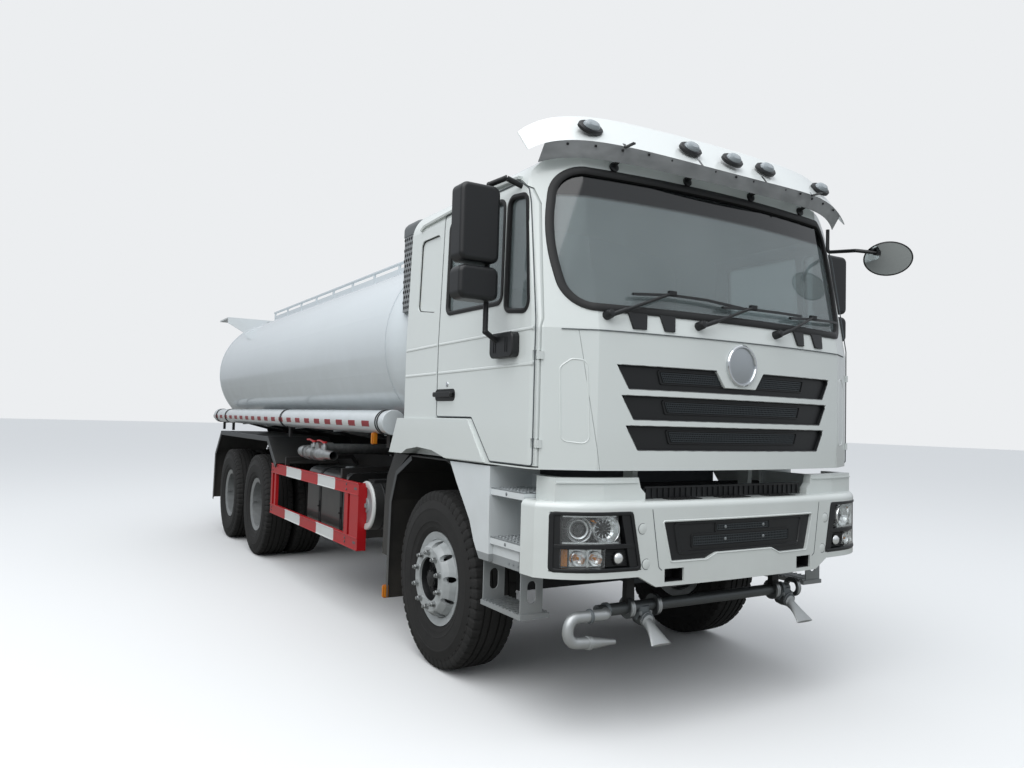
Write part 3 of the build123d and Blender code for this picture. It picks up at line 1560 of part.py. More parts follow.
def visor_band(stations, upper, lower, wall):
    """Thin band between two of the visor's lines, lofted across the cab."""
    with BuildPart() as band:
        for station in [(-s[0],) + s[1:] for s in reversed(stations[1:])] + list(stations):
            upper_y, upper_z = station[upper]
            lower_y, lower_z = station[lower]
            with BuildSketch(Plane.YZ.offset(station[0])):
                with BuildLine():
                    Polyline(
                        (front_axle_y + upper_y, upper_z),
                        (front_axle_y + lower_y, lower_z),
                        (front_axle_y + lower_y + wall, lower_z + 2),
                        (front_axle_y + upper_y + wall, upper_z - 2),
                        close=True,
                    )
                make_face()
        loft()
    return band.part


visor_wing = visor_band(visor_stations + (visor_tip,), 1, 2, visor_wall)
visor_front = visor_band(visor_stations + (visor_tip,), 1, 2, -200)
visor_strip = visor_band(visor_stations, 2, 3, 5)
with BuildPart() as sun_visor:
    add(visor_wing)
    # Brackets from the roof's front edge
    for x in (-760, -260, 260, 760):
        with BuildSketch(Plane.YZ.offset(x - 8)):
            with Locations((front_axle_y - 1240, 3078)):
                Rectangle(360, 26)
        extrude(amount=16)
    add(visor_front, mode=Mode.SUBTRACT)
    add(outer_form, mode=Mode.SUBTRACT)
sun_visor.part.label = "sun_visor"
export_step(sun_visor.part, "parts/sun_visor.step")

with BuildPart() as visor_shade:
    add(visor_strip)
    add(sun_visor.part, mode=Mode.SUBTRACT)
visor_shade.part.label = "visor_shade"
export_step(visor_shade.part, "parts/visor_shade.step")


# Wipers: three arms with blades along the bottom of the screen
with BuildPart() as wipers:
    for x in (-740, -90, 560):
        bow = 76 * (x / 950) ** 2
        with BuildSketch(Plane.XZ.offset(-front_y - bow - 60)):
            with Locations((x, 2130)):
                Circle(18)
        extrude(amount=90)
        # Arm and blade follow the screen's lean and bow
        arm = Plane(origin=(x, front_y + bow - 16, 2130), x_dir=(1, 0.12 * (x + 200) / 950, 0.35), z_dir=(0, -1, lean))
        with BuildSketch(arm):
            with Locations((210, 0)):
                Rectangle(440, 12)
        extrude(amount=10)
        with BuildSketch(arm):
            with Locations((330, 22)):
                Rectangle(560, 10)
            with Locations((330, 8)):
                Rectangle(24, 24)
        extrude(amount=8)
    add(outer_form, mode=Mode.SUBTRACT)
wipers.part.label = "wipers"
export_step(wipers.part, "parts/wipers.step")


# Seats, dashboard with column, steering wheel
seat_y = front_axle_y - 430
with BuildPart() as seats:
    for x in (-700, 700):
        with BuildSketch(Plane.XY.offset(floor_top_z)):
            with Locations((x, seat_y)):
                Rectangle(360, 360)
        extrude(amount=240)
        with BuildSketch(Plane.XY.offset(cab_floor_z + 300)):
            with Locations((x, seat_y)):
                RectangleRounded(500, 500, 60)
        extrude(amount=130)
        with BuildSketch(Plane.XZ.offset(-seat_y - 170)):
            with Locations((x, cab_floor_z + 760)):
                RectangleRounded(480, 680, 80)
        extrude(amount=-120)
seats.part.label = "seats"
export_step(seats.part, "parts/seats.step")

dash_rear_y = front_axle_y - 960
dash_form = cab_form(cab_wall + seat_gap, floor_top_z + seat_gap)
with BuildPart() as dashboard:
    add(dash_form)
    with BuildSketch(Plane.YZ):
        with BuildLine():
            Polyline(
                (front_y - 50, 1700),
                (dash_rear_y - 120, 1700),
                (dash_rear_y, 1850),
                (dash_rear_y - 60, 2080),
                (front_y - 50, 2160),
                close=True,
            )
        make_face()
    extrude(amount=body_half_width, both=True, mode=Mode.INTERSECT)
    # Ends set in from the doors, whose front edges turn inwards as they open
    with BuildSketch(Plane.XY.offset(1650)):
        for sign in (-1, 1):
            with Locations((sign * (hinge_x - 72 + 100), hinge_y - 27 + 250)):
                Rectangle(200, 500)
    extrude(amount=600, mode=Mode.SUBTRACT)
dashboard.part.label = "dashboard"
export_step(dashboard.part, "parts/dashboard.step")

wheel_plane_tilt = Plane(origin=(-700, front_axle_y - 820, 2060), z_dir=(0, 0.62, 0.78))
with BuildPart() as steering_wheel:
    with BuildSketch(wheel_plane_tilt):
        Circle(235)
        Circle(205, mode=Mode.SUBTRACT)
        Circle(60)
        Rectangle(430, 36)
    extrude(amount=15, both=True)
    with BuildSketch(wheel_plane_tilt):
        Circle(28)
    extrude(amount=-300)
    add(dashboard.part, mode=Mode.SUBTRACT)
steering_wheel.part.label = "steering_wheel"
export_step(steering_wheel.part, "parts/steering_wheel.step")


# Cab fenders: wide arches over the front wheels
fender_outline = (
    (600, 1345),
    (470, 1585),
    (-560, 1585),
    (-745, 1372),
    (-760, 1352),
    (-520, 1352),
)
fender_inner = cab_form(-seat_gap, cab_floor_z - 20)
with BuildPart() as cab_fenders:
    for sign in (-1, 1):
        with BuildSketch(Plane.YZ.offset(sign * (body_half_width + 12))):
            with BuildLine():
                Polyline([(front_axle_y + y, z) for y, z in fender_outline], close=True)
            make_face()
            with BuildLine():
                Polyline([(front_axle_y + y, z) for y, z in arch_outline], close=True)
            make_face(mode=Mode.SUBTRACT)
        extrude(amount=-sign * 90)
    add(fender_inner, mode=Mode.SUBTRACT)
cab_fenders.part.label = "cab_fenders"
export_step(cab_fenders.part, "parts/cab_fenders.step")


# Round front mirror on its arm at the left corner
mirror_centre = (body_half_width + 55, front_axle_y - 1514, 2712)
with BuildPart() as front_mirror:
    dish = Plane(origin=mirror_centre, z_dir=(0.25, 0.9, -0.35))
    with BuildSketch(dish):
        Circle(135)
    extrude(amount=45, taper=25)
    with BuildSketch(Plane.XY.offset(2790)):
        with Locations((body_half_width - 70, front_axle_y - 1150)):
            Circle(12)
    extrude(amount=160)
    with BuildLine() as arm:
        Line((body_half_width - 70, front_axle_y - 1150, 2795), (body_half_width + 45, front_axle_y - 1490, 2735))
    with BuildSketch(Plane(origin=arm.line @ 0, z_dir=arm.line % 0)):
        Circle(12)
    sweep(path=arm.line)
    add(outer_form, mode=Mode.SUBTRACT)
front_mirror.part.label = "front_mirror"
export_step(front_mirror.part, "parts/front_mirror.step")
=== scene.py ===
"""Six-wheel water tanker with a forward-tilting cab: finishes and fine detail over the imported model.

Metres. The front faces -Y, +X is the truck's own left, +Z is up and the ground is z = 0.
"""

import math

import bmesh
import bpy
from mathutils import Matrix, Vector


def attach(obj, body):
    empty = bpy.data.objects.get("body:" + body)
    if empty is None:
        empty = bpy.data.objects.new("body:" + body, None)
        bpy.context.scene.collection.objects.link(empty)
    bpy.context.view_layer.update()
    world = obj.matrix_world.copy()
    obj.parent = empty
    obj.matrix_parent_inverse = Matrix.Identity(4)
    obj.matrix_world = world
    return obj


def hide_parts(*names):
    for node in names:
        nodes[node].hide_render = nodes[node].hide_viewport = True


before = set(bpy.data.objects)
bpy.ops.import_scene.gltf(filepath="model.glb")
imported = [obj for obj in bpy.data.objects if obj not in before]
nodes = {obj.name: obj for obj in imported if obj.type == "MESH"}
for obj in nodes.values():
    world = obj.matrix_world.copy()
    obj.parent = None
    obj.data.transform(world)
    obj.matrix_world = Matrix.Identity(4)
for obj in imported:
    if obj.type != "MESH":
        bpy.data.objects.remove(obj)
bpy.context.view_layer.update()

SIDES = (("right", -1), ("left", 1))
front_axle_y = -2.990
rear_axle_ys = (front_axle_y + 4.575, front_axle_y + 5.975)


# ---- Camera
# A wide lens held at chest height ahead of the truck's right corner, tipped up a little
# and leaning slightly to the right.
camera_place = Vector((-3.3994, front_axle_y - 4.6068, 1.5887))
turn, tip, roll = (math.radians(angle) for angle in (31.106, 2.653, 1.554))

ahead = Vector((math.sin(turn) * math.cos(tip), math.cos(turn) * math.cos(tip), math.sin(tip)))
level = Vector((math.cos(turn), -math.sin(turn), 0))
upright = level.cross(ahead)
camera_right = level * math.cos(roll) + upright * math.sin(roll)
camera_up = upright * math.cos(roll) - level * math.sin(roll)

camera_data = bpy.data.cameras.new("photo_camera")
camera_data.sensor_width = 36
camera_data.lens = 27.645
camera_data.clip_end = 500
camera = bpy.data.objects.new("photo_camera", camera_data)
camera.matrix_world = Matrix([*zip(camera_right, camera_up, -ahead, camera_place), (0, 0, 0, 1)])
bpy.context.collection.objects.link(camera)
bpy.context.scene.camera = camera


# ---- Yard light and floor
# An even overcast sky that is a little brighter overhead, one broad soft lamp, and a pale
# concrete-coloured floor that runs out into the background.
def linear(hex_colour, shade=1.0):
    """An sRGB hex colour as the linear colour that nodes take, darkened by a shade below one."""
    channels = [int(hex_colour[i : i + 2], 16) / 255 for i in (1, 3, 5)]
    return tuple(shade * (c / 12.92 if c <= 0.04045 else ((c + 0.055) / 1.055) ** 2.4) for c in channels) + (1.0,)


def first_output(node):
    """The first output in use of a node."""
    return next(s for s in node.outputs if s.enabled)


def add_node(tree, kind, settings=None, **inputs):
    """Adds a node; each input takes a value, another node's socket, or a node for its first output in use."""
    node = tree.nodes.new("ShaderNode" + kind)
    for name, value in (settings or {}).items():
        setattr(node, name, value)
    for name, value in inputs.items():
        socket = next(s for s in node.inputs if s.enabled and name in (s.identifier, s.name.replace(" ", "_")))
        if isinstance(value, bpy.types.Node):
            value = first_output(value)
        if isinstance(value, bpy.types.NodeSocket):
            tree.links.new(value, socket)
        else:
            socket.default_value = value
    return node


world = bpy.data.worlds.new("overcast")
world.use_nodes = True
bpy.context.scene.world = world
sky = world.node_tree
sky.nodes.clear()
sky_way = add_node(sky, "SeparateXYZ", Vector=add_node(sky, "TexCoord").outputs["Generated"])
sky_height = add_node(sky, "MapRange", Value=sky_way.outputs["Z"], From_Min=-0.25, From_Max=0.8)
sky_colours = {"A_Color": linear("#8d9298"), "B_Color": linear("#f4f8fd")}
sky_light = add_node(sky, "Mix", {"data_type": "RGBA"}, Factor_Float=sky_height, **sky_colours)
rays = add_node(sky, "LightPath").outputs
seen_rays = {"Value": rays["Is Camera Ray"], "Value_001": rays["Is Transmission Ray"]}
lit_sky = add_node(sky, "Background", Color=sky_light, Strength=1.02)
seen_sky = add_node(sky, "Background", Color=linear("#eceef0"), Strength=1.0)
seen = add_node(sky, "Math", {"operation": "MAXIMUM"}, **seen_rays)
add_node(sky, "OutputWorld", Surface=add_node(sky, "MixShader", Fac=seen, Shader=lit_sky, Shader_001=seen_sky))

soft_lamp = bpy.data.lights.new("soft_overhead", "AREA")
soft_lamp.shape = "RECTANGLE"
soft_lamp.size, soft_lamp.size_y = 12, 16
soft_lamp.energy = 1250
lamp_object = bpy.data.objects.new("soft_overhead", soft_lamp)
lamp_object.location = (-6, -6, 11)
lamp_aim = Vector((0, 0, 1)) - Vector(lamp_object.location)
lamp_object.rotation_euler = lamp_aim.to_track_quat("-Z", "Y").to_euler()
bpy.context.collection.objects.link(lamp_object)


def new_finish(name, **values):
    """A material with a Principled shader; returns the material, its tree and the shader."""
    material = bpy.data.materials.new(name)
    material.use_nodes = True
    tree = material.node_tree
    tree.nodes.clear()
    shader = add_node(tree, "BsdfPrincipled", **values)
    add_node(tree, "OutputMaterial", Surface=shader)
    return material, tree, shader


def tint(tree, shader, share, first, second, shade=1.0, dust=None):
    """Base colour between two sRGB colours by a share, the second darkened by a shade, under any dust."""
    colours = {"A_Color": linear(first), "B_Color": linear(second, shade)}
    colour = first_output(add_node(tree, "Mix", {"data_type": "RGBA"}, Factor_Float=share, **colours))
    tree.links.new(dusty(tree, colour, *dust) if dust else colour, shader.inputs["Base Color"])


# Overcast concrete: pale where it is seen, darker in the light that it throws up at the truck
floor_finish, tree, shader = new_finish("pale_floor", Roughness=0.9)
tint(tree, shader, add_node(tree, "LightPath").outputs["Is Camera Ray"], "#8f8f8b", "#e6e7e7")
floor_mesh = bpy.data.meshes.new("floor")
floor_mesh.from_pydata([(-80, -60, 0), (80, -60, 0), (80, 120, 0), (-80, 120, 0)], [], [(0, 1, 2, 3)])
floor_mesh.materials.append(floor_finish)
floor = bpy.data.objects.new("floor", floor_mesh)
bpy.context.collection.objects.link(floor)

bpy.context.scene.view_settings.view_transform = "Standard"


# ---- White bodywork
# Pressed steel panels of the cab and the bumper in two-pack gloss white: a hard clear
# surface with faint orange peel, and road dust that gathers towards the lower edges.
def object_noise(tree, millimetres, detail=2.0, stretch=(1, 1, 1)):
    """Noise in the part's own frame whose blotches are about that many millimetres wide."""
    place = add_node(tree, "Mapping", Vector=add_node(tree, "TexCoord").outputs["Object"], Scale=stretch)
    return add_node(tree, "TexNoise", Vector=place, Scale=1000 / millimetres, Detail=detail)


def bump(tree, shader, height, strength, millimetres):
    """Relief of that depth, from a height node or from the values of an object_noise."""
    height = object_noise(tree, *height) if isinstance(height, tuple) else height
    relief = add_node(tree, "Bump", Height=height, Strength=strength, Distance=millimetres / 1000)
    tree.links.new(relief.outputs[0], shader.inputs["Normal"])


def along_axis(tree, axis, start, end, first=0.0, last=1.0):
    """A share that runs from first to last between two distances along an axis of the part's frame."""
    place = add_node(tree, "SeparateXYZ", Vector=add_node(tree, "TexCoord").outputs["Object"])
    span = {"From_Min": start, "From_Max": end, "To_Min": first, "To_Max": last}
    return add_node(tree, "MapRange", Value=place.outputs[axis], **span)


def dusty(tree, colour, dust_colour, low_z, high_z, most):
    """The colour, dusted below high_z and most at low_z."""
    low = along_axis(tree, "Z", low_z, high_z, most, 0.0)
    patchy = object_noise(tree, 180, 4)
    amount = add_node(tree, "Math", {"operation": "MULTIPLY"}, Value=low, Value_001=patchy)
    colours = {"A_Color": colour, "B_Color": linear(dust_colour)}
    return first_output(add_node(tree, "Mix", {"data_type": "RGBA"}, Factor_Float=amount, **colours))


def paint(name, colour, roughness=0.28, coat=0.6, dust=("#8f8a80", 0.4, 1.6, 0.35), peel=0.05):
    """Sprayed paint: a mixed tint, a clear top coat, orange peel and dust."""
    material, tree, shader = new_finish(name, Roughness=roughness, Coat_Weight=coat, Coat_Roughness=0.06)
    tint(tree, shader, object_noise(tree, 900, 3), colour, colour, 0.93, dust)
    bump(tree, shader, (6, 1), peel, 0.4)
    return material


def grained(name, colour, roughness, grain_mm=1.2, depth_mm=0.15, metallic=0.0, worn=0.85):
    """A surface of one substance with fine grain and a worn, uneven tint."""
    material, tree, shader = new_finish(name, Roughness=roughness, Metallic=metallic)
    tint(tree, shader, object_noise(tree, 140, 5), colour, colour, worn)
    bump(tree, shader, (grain_mm, 2), 0.35, depth_mm)
    return material


def repaint(material, *names):
    """Gives the CAD nodes one material over all their slots."""
    for name in names:
        slots = nodes[name].data.materials
        for index in range(len(slots)):
            slots[index] = material
        if not len(slots):
            slots.append(material)


def soften(metres, *objects):
    """Rounds off the sharp edges of pieces or CAD nodes by that much."""
    for piece in objects:
        piece = nodes[piece] if isinstance(piece, str) else piece
        edge = piece.modifiers.new("rounded_edges", "BEVEL")
        edge.width, edge.segments, edge.limit_method, edge.angle_limit = metres, 2, "ANGLE", math.radians(38)


white_gloss = paint("two_pack_white_gloss", "#d9dfdd")
repaint(white_gloss, "cab_shell", "door_left", "door_right", "front_panel", "front_bumper", "cab_fenders")


# ---- Windscreen
# One laminated pane in a wide black rubber gasket that hooks over the edge of the cab's
# opening, with a dark roller blind rolled up along its top inside, and three wipers below.
LEFT, BACK, UP, FRONT = (1, 0, 0), (0, 1, 0), (0, 0, 1), (0, -1, 0)


def at(x, y, z):
    """A place from its distance to the left, rearwards of the front axle, and its height."""
    return Vector((x, front_axle_y + y, z))


def rect(x0, x1, y0, y1):
    """The corners of a rectangle, counter-clockwise from its lowest."""
    return [(x0, y0), (x1, y0), (x1, y1), (x0, y1)]


def rounded(outline, radii, steps=6, closed=True):
    """The same line with its corners rounded off, by one radius or one for each corner."""
    points = []
    corners = [Vector(p) for p in outline]
    for index, corner in enumerate(corners):
        radius = radii[index] if isinstance(radii, tuple) else radii
        before = corners[index - 1] - corner
        after = corners[(index + 1) % len(corners)] - corner
        half = before.angle(after) / 2
        if not closed and index in (0, len(corners) - 1) or half > math.radians(89):
            points.append(corner)
            continue
        reach = min(radius / math.tan(half), before.length * 0.49, after.length * 0.49)
        centre = corner + (before.normalized() + after.normalized()).normalized() * reach / math.cos(half)
        start, end = corner + before.normalized() * reach - centre, corner + after.normalized() * reach - centre
        sweep = start.angle(end)
        for step in range(steps + 1):
            part = sweep * step / steps
            points.append(centre + (start * math.sin(sweep - part) + end * math.sin(part)) / math.sin(sweep))
    return points


def divided(path, step, closed=True):
    """The same line with a point at least every step."""
    points = []
    for index, point in enumerate(path):
        point = Vector(point)
        points.append(point)
        if closed or index < len(path) - 1:
            after = Vector(path[(index + 1) % len(path)])
            count = int((after - point).length / step)
            points += [point.lerp(after, k / (count + 1)) for k in range(1, count + 1)]
    return points


def band(path, profile, lay, closed=True):
    """A strip of constant section, (across, out) points, along a line on a surface."""
    path = [Vector(p) for p in path]
    points, faces = [], []
    last = len(path) - 1
    for index, point in enumerate(path):
        before = path[index - 1] if closed or index else point
        after = path[(index + 1) % len(path)] if closed or index < last else point
        along = ((after - point).normalized() + (point - before).normalized()).normalized()
        left = Vector((-along.y, along.x))
        points += [lay(point + left * across, out) for across, out in profile]
    width = len(profile)
    for index in range(len(path) if closed else last):
        a, b = index * width, (index + 1) % len(path) * width
        faces += [(a + k, b + k, b + (k + 1) % width, a + (k + 1) % width) for k in range(width)]
    if not closed:
        faces += [tuple(range(width))[::-1], tuple(len(points) - width + k for k in range(width))]
    return points, faces


def ridge(*widths_and_heights):
    """A band's section that is the same on both sides, from its (half width, out) points, outer first."""
    return [(-half, out) for half, out in widths_and_heights] + [*reversed(widths_and_heights)]


def slab(corners, lay, low, high, across=1, up=1):
    """A thin plate over a four-cornered patch of a surface."""
    a, b, c, d = (Vector(p) for p in corners)
    points, faces = [], []
    columns = across + 1
    for out in (high, low):
        for row in range(up + 1):
            left, right = a.lerp(d, row / up), b.lerp(c, row / up)
            points += [lay(left.lerp(right, k / across), out) for k in range(columns)]
    size = columns * (up + 1)
    for row in range(up):
        for k in range(across):
            p = row * columns + k
            faces.append((p, p + 1, p + 1 + columns, p + columns))
            faces.append((size + p + columns, size + p + 1 + columns, size + p + 1, size + p))
    rim = list(range(columns)) + [across + row * columns for row in range(1, up + 1)]
    rim += [up * columns + k for k in range(across - 1, -1, -1)] + [row * columns for row in range(up - 1, 0, -1)]
    faces += [(q, p, size + p, size + q) for p, q in zip(rim, rim[1:] + rim[:1])]
    return points, faces


def plate(outline, lay, low, high):
    """A flat plate of any outline between two distances out from a surface."""
    return stacked([[lay(Vector(p), out) for p in outline] for out in (low, high)])


def stacked(outlines):
    """A closed form through outlines of equally many places each."""
    size = len(outlines[0])
    points = [place for outline in outlines for place in outline]
    faces = [tuple(range(size))[::-1], tuple(range(len(points) - size, len(points)))]
    for start in range(0, len(points) - size, size):
        rows = ((start + k, start + (k + 1) % size) for k in range(size))
        faces += [(a, b, size + b, size + a) for a, b in rows]
    return points, faces


def turned(profile, centre, axis, steps=32, ring=False):
    """A form turned about an axis, from (along, radius) points; a ring's last point joins its first."""
    axis = Vector(axis).normalized()
    side = axis.orthogonal().normalized()
    other = axis.cross(side)
    points, faces, starts = [], [], []
    for along, radius in profile:
        starts.append((len(points), radius > 1e-6))
        for k in range(steps if radius > 1e-6 else 1):
            turn = math.tau * k / steps
            points.append(Vector(centre) + axis * along + (side * math.cos(turn) + other * math.sin(turn)) * radius)
    for (a, wide_a), (b, wide_b) in zip(starts, starts[1:] + (starts[:1] if ring else [])):
        for k in range(steps):
            n = (k + 1) % steps
            face = (a + k * wide_a, a + n * wide_a, b + n * wide_b, b + k * wide_b)
            faces.append(tuple(dict.fromkeys(face)))
    return points, faces


def rod(path, radius, sides=12):
    """A round bar along a line of points."""
    path = [Vector(p) for p in path]
    outlines, side = [], None
    for index, point in enumerate(path):
        along = (path[min(index + 1, len(path) - 1)] - path[max(index - 1, 0)]).normalized()
        side = along.orthogonal() if side is None else side - along * side.dot(along)
        side.normalize()
        other = along.cross(side)
        turns = [math.tau * k / sides for k in range(sides)]
        outlines.append([point + (side * math.cos(t) + other * math.sin(t)) * radius for t in turns])
    return stacked(outlines)


def block(low, high):
    """A straight block between its lowest and highest corners."""
    (x0, y0, z0), (x1, y1, z1) = low, high
    return plate(rect(x0, x1, y0, y1), lambda p, out: Vector((p.x, p.y, out)), z0, z1)


def made(name, parts, body, angle=35, edge=0.0, stands_for=()):
    """A piece from (finish, shapes) pairs that rides on a body, each shape in its pair's finish."""
    points, faces, marks = [], [], []
    for mark, (_, shapes) in enumerate(parts):
        for shape_points, shape_faces in shapes:
            start = len(points)
            points += [tuple(p) for p in shape_points]
            faces += [[start + k for k in face] for face in shape_faces]
            marks += [mark] * len(shape_faces)
    mesh = bpy.data.meshes.new(name)
    mesh.from_pydata(points, [], faces)
    for finish, _ in parts:
        mesh.materials.append(finish)
    mesh.polygons.foreach_set("material_index", marks)
    form = bmesh.new()
    form.from_mesh(mesh)
    bmesh.ops.recalc_face_normals(form, faces=form.faces)
    form.to_mesh(mesh)
    form.free()
    mesh.shade_smooth()
    mesh.set_sharp_from_angle(angle=math.radians(angle))
    piece = bpy.data.objects.new(name, mesh)
    bpy.context.collection.objects.link(piece)
    if edge:
        soften(edge, piece)
    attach(piece, body)
    if stands_for:
        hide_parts(*stands_for)


nose_y = front_axle_y - 1.476
belt_z = 2.070
bow_radius, bow_half = 5.9755, 0.95


def cab_front(point, out):
    """A place on the cab's bowed front, which leans back above the belt."""
    x, z = point
    bow = bow_radius - math.sqrt(bow_radius**2 - min(abs(x), bow_half) ** 2) + max(abs(x) - bow_half, 0) * 0.506
    return Vector((x, nose_y + bow + 0.2 * max(z - belt_z, 0) - out, z))


rubber = grained("black_epdm_rubber", "#0f1011", 0.55, 2.5, 0.1)
screen_line = [
    (-1.085, 2.190), (1.085, 2.190), (1.150, 2.559), (1.085, 2.935), (-1.085, 2.935), (-1.150, 2.559),
]  # fmt: skip
screen_edge = divided(rounded(screen_line, (0.165, 0.165, 1.0, 0.165, 0.165, 1.0), 10), 0.12)
screen_lip = (
    (-0.026, -0.002), (-0.025, 0.007), (-0.014, 0.011), (0.004, 0.011), (0.016, 0.004), (0.020, -0.016), (0.0, -0.016),
)  # fmt: skip
made("screen_gasket", [(rubber, [band(screen_edge, screen_lip, cab_front)])], "cab")

blind_cloth = grained("woven_blind_cloth", "#23262a", 0.9, 1.5, 0.2)
blind = slab(((-1.02, 2.845), (1.02, 2.845), (1.03, 2.925), (-1.03, 2.925)), cab_front, -0.034, -0.030, 24, 2)
made("screen_blind", [(blind_cloth, [blind])], "cab")

# Faintly green laminated glass, streaked by rain marks. Its pale tint, in a pane that lets only part of the light
# through, is partly the glass's green and partly a painted reflection of the sky
glass_values = {"Base_Color": linear("#a9b6b8"), "Transmission_Weight": 0.72, "IOR": 1.5}
door_glass, tree, shader = new_finish("laminated_glass", **glass_values)
shader.inputs["Specular IOR Level"].default_value = 0.9
streaks = object_noise(tree, 260, 3, (1, 1, 0.3))
haze = add_node(tree, "MapRange", Value=streaks, To_Min=0.01, To_Max=0.07)
tree.links.new(haze.outputs[0], shader.inputs["Roughness"])
repaint(door_glass, "door_glass_left", "door_glass_right")
# The same glass with a dark band painted along its top: a painted reflection of the visor's dark underside
visor_reflection_glass, tree, shader = new_finish("banded_windscreen_glass", Roughness=0.03, Transmission_Weight=0.72, IOR=1.5)
shader.inputs["Specular IOR Level"].default_value = 0.9
# The windscreen's pale patchy tint: partly the glass and partly a painted reflection of the sky
glass_colours = {"A_Color": linear("#b7c3c5"), "B_Color": linear("#a2afb1")}
patches = add_node(tree, "Mix", {"data_type": "RGBA"}, Factor_Float=object_noise(tree, 400, 2), **glass_colours)
reflection_band_colours = {"A_Color": first_output(patches), "B_Color": linear("#1a1e20")}
# Above about 2.79 m the glass colour turns dark: painted reflection of the visor
painted_reflection_band = along_axis(tree, "Z", 2.785, 2.805)
glass_with_painted_reflection = add_node(tree, "Mix", {"data_type": "RGBA"}, Factor_Float=painted_reflection_band, **reflection_band_colours)
tree.links.new(first_output(glass_with_painted_reflection), shader.inputs["Base Color"])
repaint(visor_reflection_glass, "windscreen")

# Four black legs under the gasket
mould_black = grained("black_polypropylene", "#131517", 0.42, 1.0, 0.2)
legs = []
for x0, x1 in ((-0.774, -0.656), (-0.575, -0.474), (0.474, 0.575), (0.656, 0.774)):
    leg = ((x0 + 0.022, 2.084), (x1 - 0.014, 2.084), (x1, 2.170), (x0, 2.170))
    legs.append(slab(leg, cab_front, -0.004, 0.011, 3, 3))
made("screen_legs", [(mould_black, legs)], "cab", edge=0.003)
# Wipers parked to the left: spindle cap, two-part arm, blade holder with its rubber, and the clip
wipers = []
for spindle, arm_end, blade in (
    ((-0.900, 2.144), (-0.495, 2.296), ((-0.744, 2.270), (-0.495, 2.287), (-0.250, 2.283), (0.020, 2.262))),
    ((-0.317, 2.130), (0.105, 2.275), ((-0.138, 2.252), (0.105, 2.264), (0.330, 2.268), (0.560, 2.270))),
    ((0.298, 2.130), (0.675, 2.272), ((0.440, 2.246), (0.675, 2.262), (0.860, 2.268), (0.985, 2.270))),
):
    cap = ((-0.03, 0.026), (0.040, 0.024), (0.052, 0.018), (0.056, 0))
    wipers.append(turned(cap, cab_front(spindle, 0), (0, -1, 0.2), 20))
    joint, bend = (Vector(spindle).lerp(Vector(arm_end), share) for share in (0.22, 0.6))
    wipers.append(rod((cab_front(spindle, 0.040), cab_front(joint, 0.048)), 0.013, 10))
    wipers.append(rod((cab_front(joint, 0.048), cab_front(bend, 0.044), cab_front(arm_end, 0.030)), 0.008, 10))
    for low, high, half in ((0.010, 0.018, 0.003), (0.018, 0.030, 0.007)):
        wipers.append(band(blade, ridge((half, low), (half, high)), cab_front, False))
    clip = Vector((0.025, 0, 0.012))
    wipers.append(block(cab_front(arm_end, 0.040) - clip, cab_front(arm_end, 0.020) + clip))
made("wiper_set", [(mould_black, wipers)], "cab", stands_for=("wipers",))
repaint(mould_black, "mirror_left", "mirror_right", "bumper_grille", "grille_inserts")


# ---- Doors
# Pressed doors with gasketed panes, a swage along the belt and another below it, a sunk
# pull handle with its lock, a moulded cover over the mirror's bracket and two mirrors.
def cab_side(sign):
    """Lays on the cab's side, upright to the belt and leaning in above it, from (rearwards, height)."""

    def lay(point, out):
        return at(sign * (1.245 - 0.023 * max(point[1] - belt_z, 0) / 0.770 + out), *point)

    return lay


def plain(name, colour, relief, **values):
    """A finish of one colour with a faint relief, given as the last values of a bump."""
    material, tree, shader = new_finish(name, Base_Color=linear(colour), **values)
    bump(tree, shader, *relief)
    return material


quarter_pane = ((-1.178, 2.160), (-0.940, 2.185), (-0.925, 2.810), (-1.105, 2.790))
main_pane = ((-0.895, 2.235), (-0.225, 2.240), (-0.215, 2.810), (-0.875, 2.810))
blank_pane = ((-0.072, 2.262), (0.225, 2.300), (0.225, 2.775), (-0.072, 2.775))
door_opening = (
    (-1.250, 1.362), (-0.815, 1.362), (-0.590, 1.602), (-0.127, 1.602), (-0.127, 2.878), (-1.030, 2.878),
    (-1.118, 2.820), (-1.148, 2.740), (-1.250, 2.110),
)  # fmt: skip
drip_rail = ((-1.020, 2.902), (-0.760, 2.912), (0.180, 2.874), (0.232, 2.850))
drip_lip = ((-0.008, -0.060), (-0.008, 0.012), (0.004, 0.016), (0.008, 0.010), (0.008, -0.060))
pane_lip = ((-0.016, -0.002), (-0.014, 0.006), (0.002, 0.008), (0.012, 0.001), (0.012, -0.014), (0.0, -0.014))
pane_fold = ((-0.004, -0.016), (-0.004, -0.004), (0.006, -0.013))
dish_lip = ((-0.004, -0.002), (-0.003, 0.002), (0.003, 0.002), (0.006, -0.003))
bezel_lip = ((-0.010, -0.001), (-0.008, 0.005), (0.0, 0.005), (0.003, 0.0))
swage = ridge((0.012, -0.002), (0.004, 0.004))
groove = ridge((0.0022, -0.004), (0.0022, 0.0006))
# Chrome and mirror glass are nearly flat, so only slow waves show in what they reflect
chrome = plain("bright_chrome", "#d9dcde", ((40, 2), 0.05, 0.2), Metallic=1.0, Roughness=0.08)
seam_dark = grained("seam_shadow_grey", "#565c5f", 0.8)
mirror_silver = plain("silvered_mirror_glass", "#cfd5d7", ((300, 2), 0.03, 0.3), Metallic=1.0, Roughness=0.03)

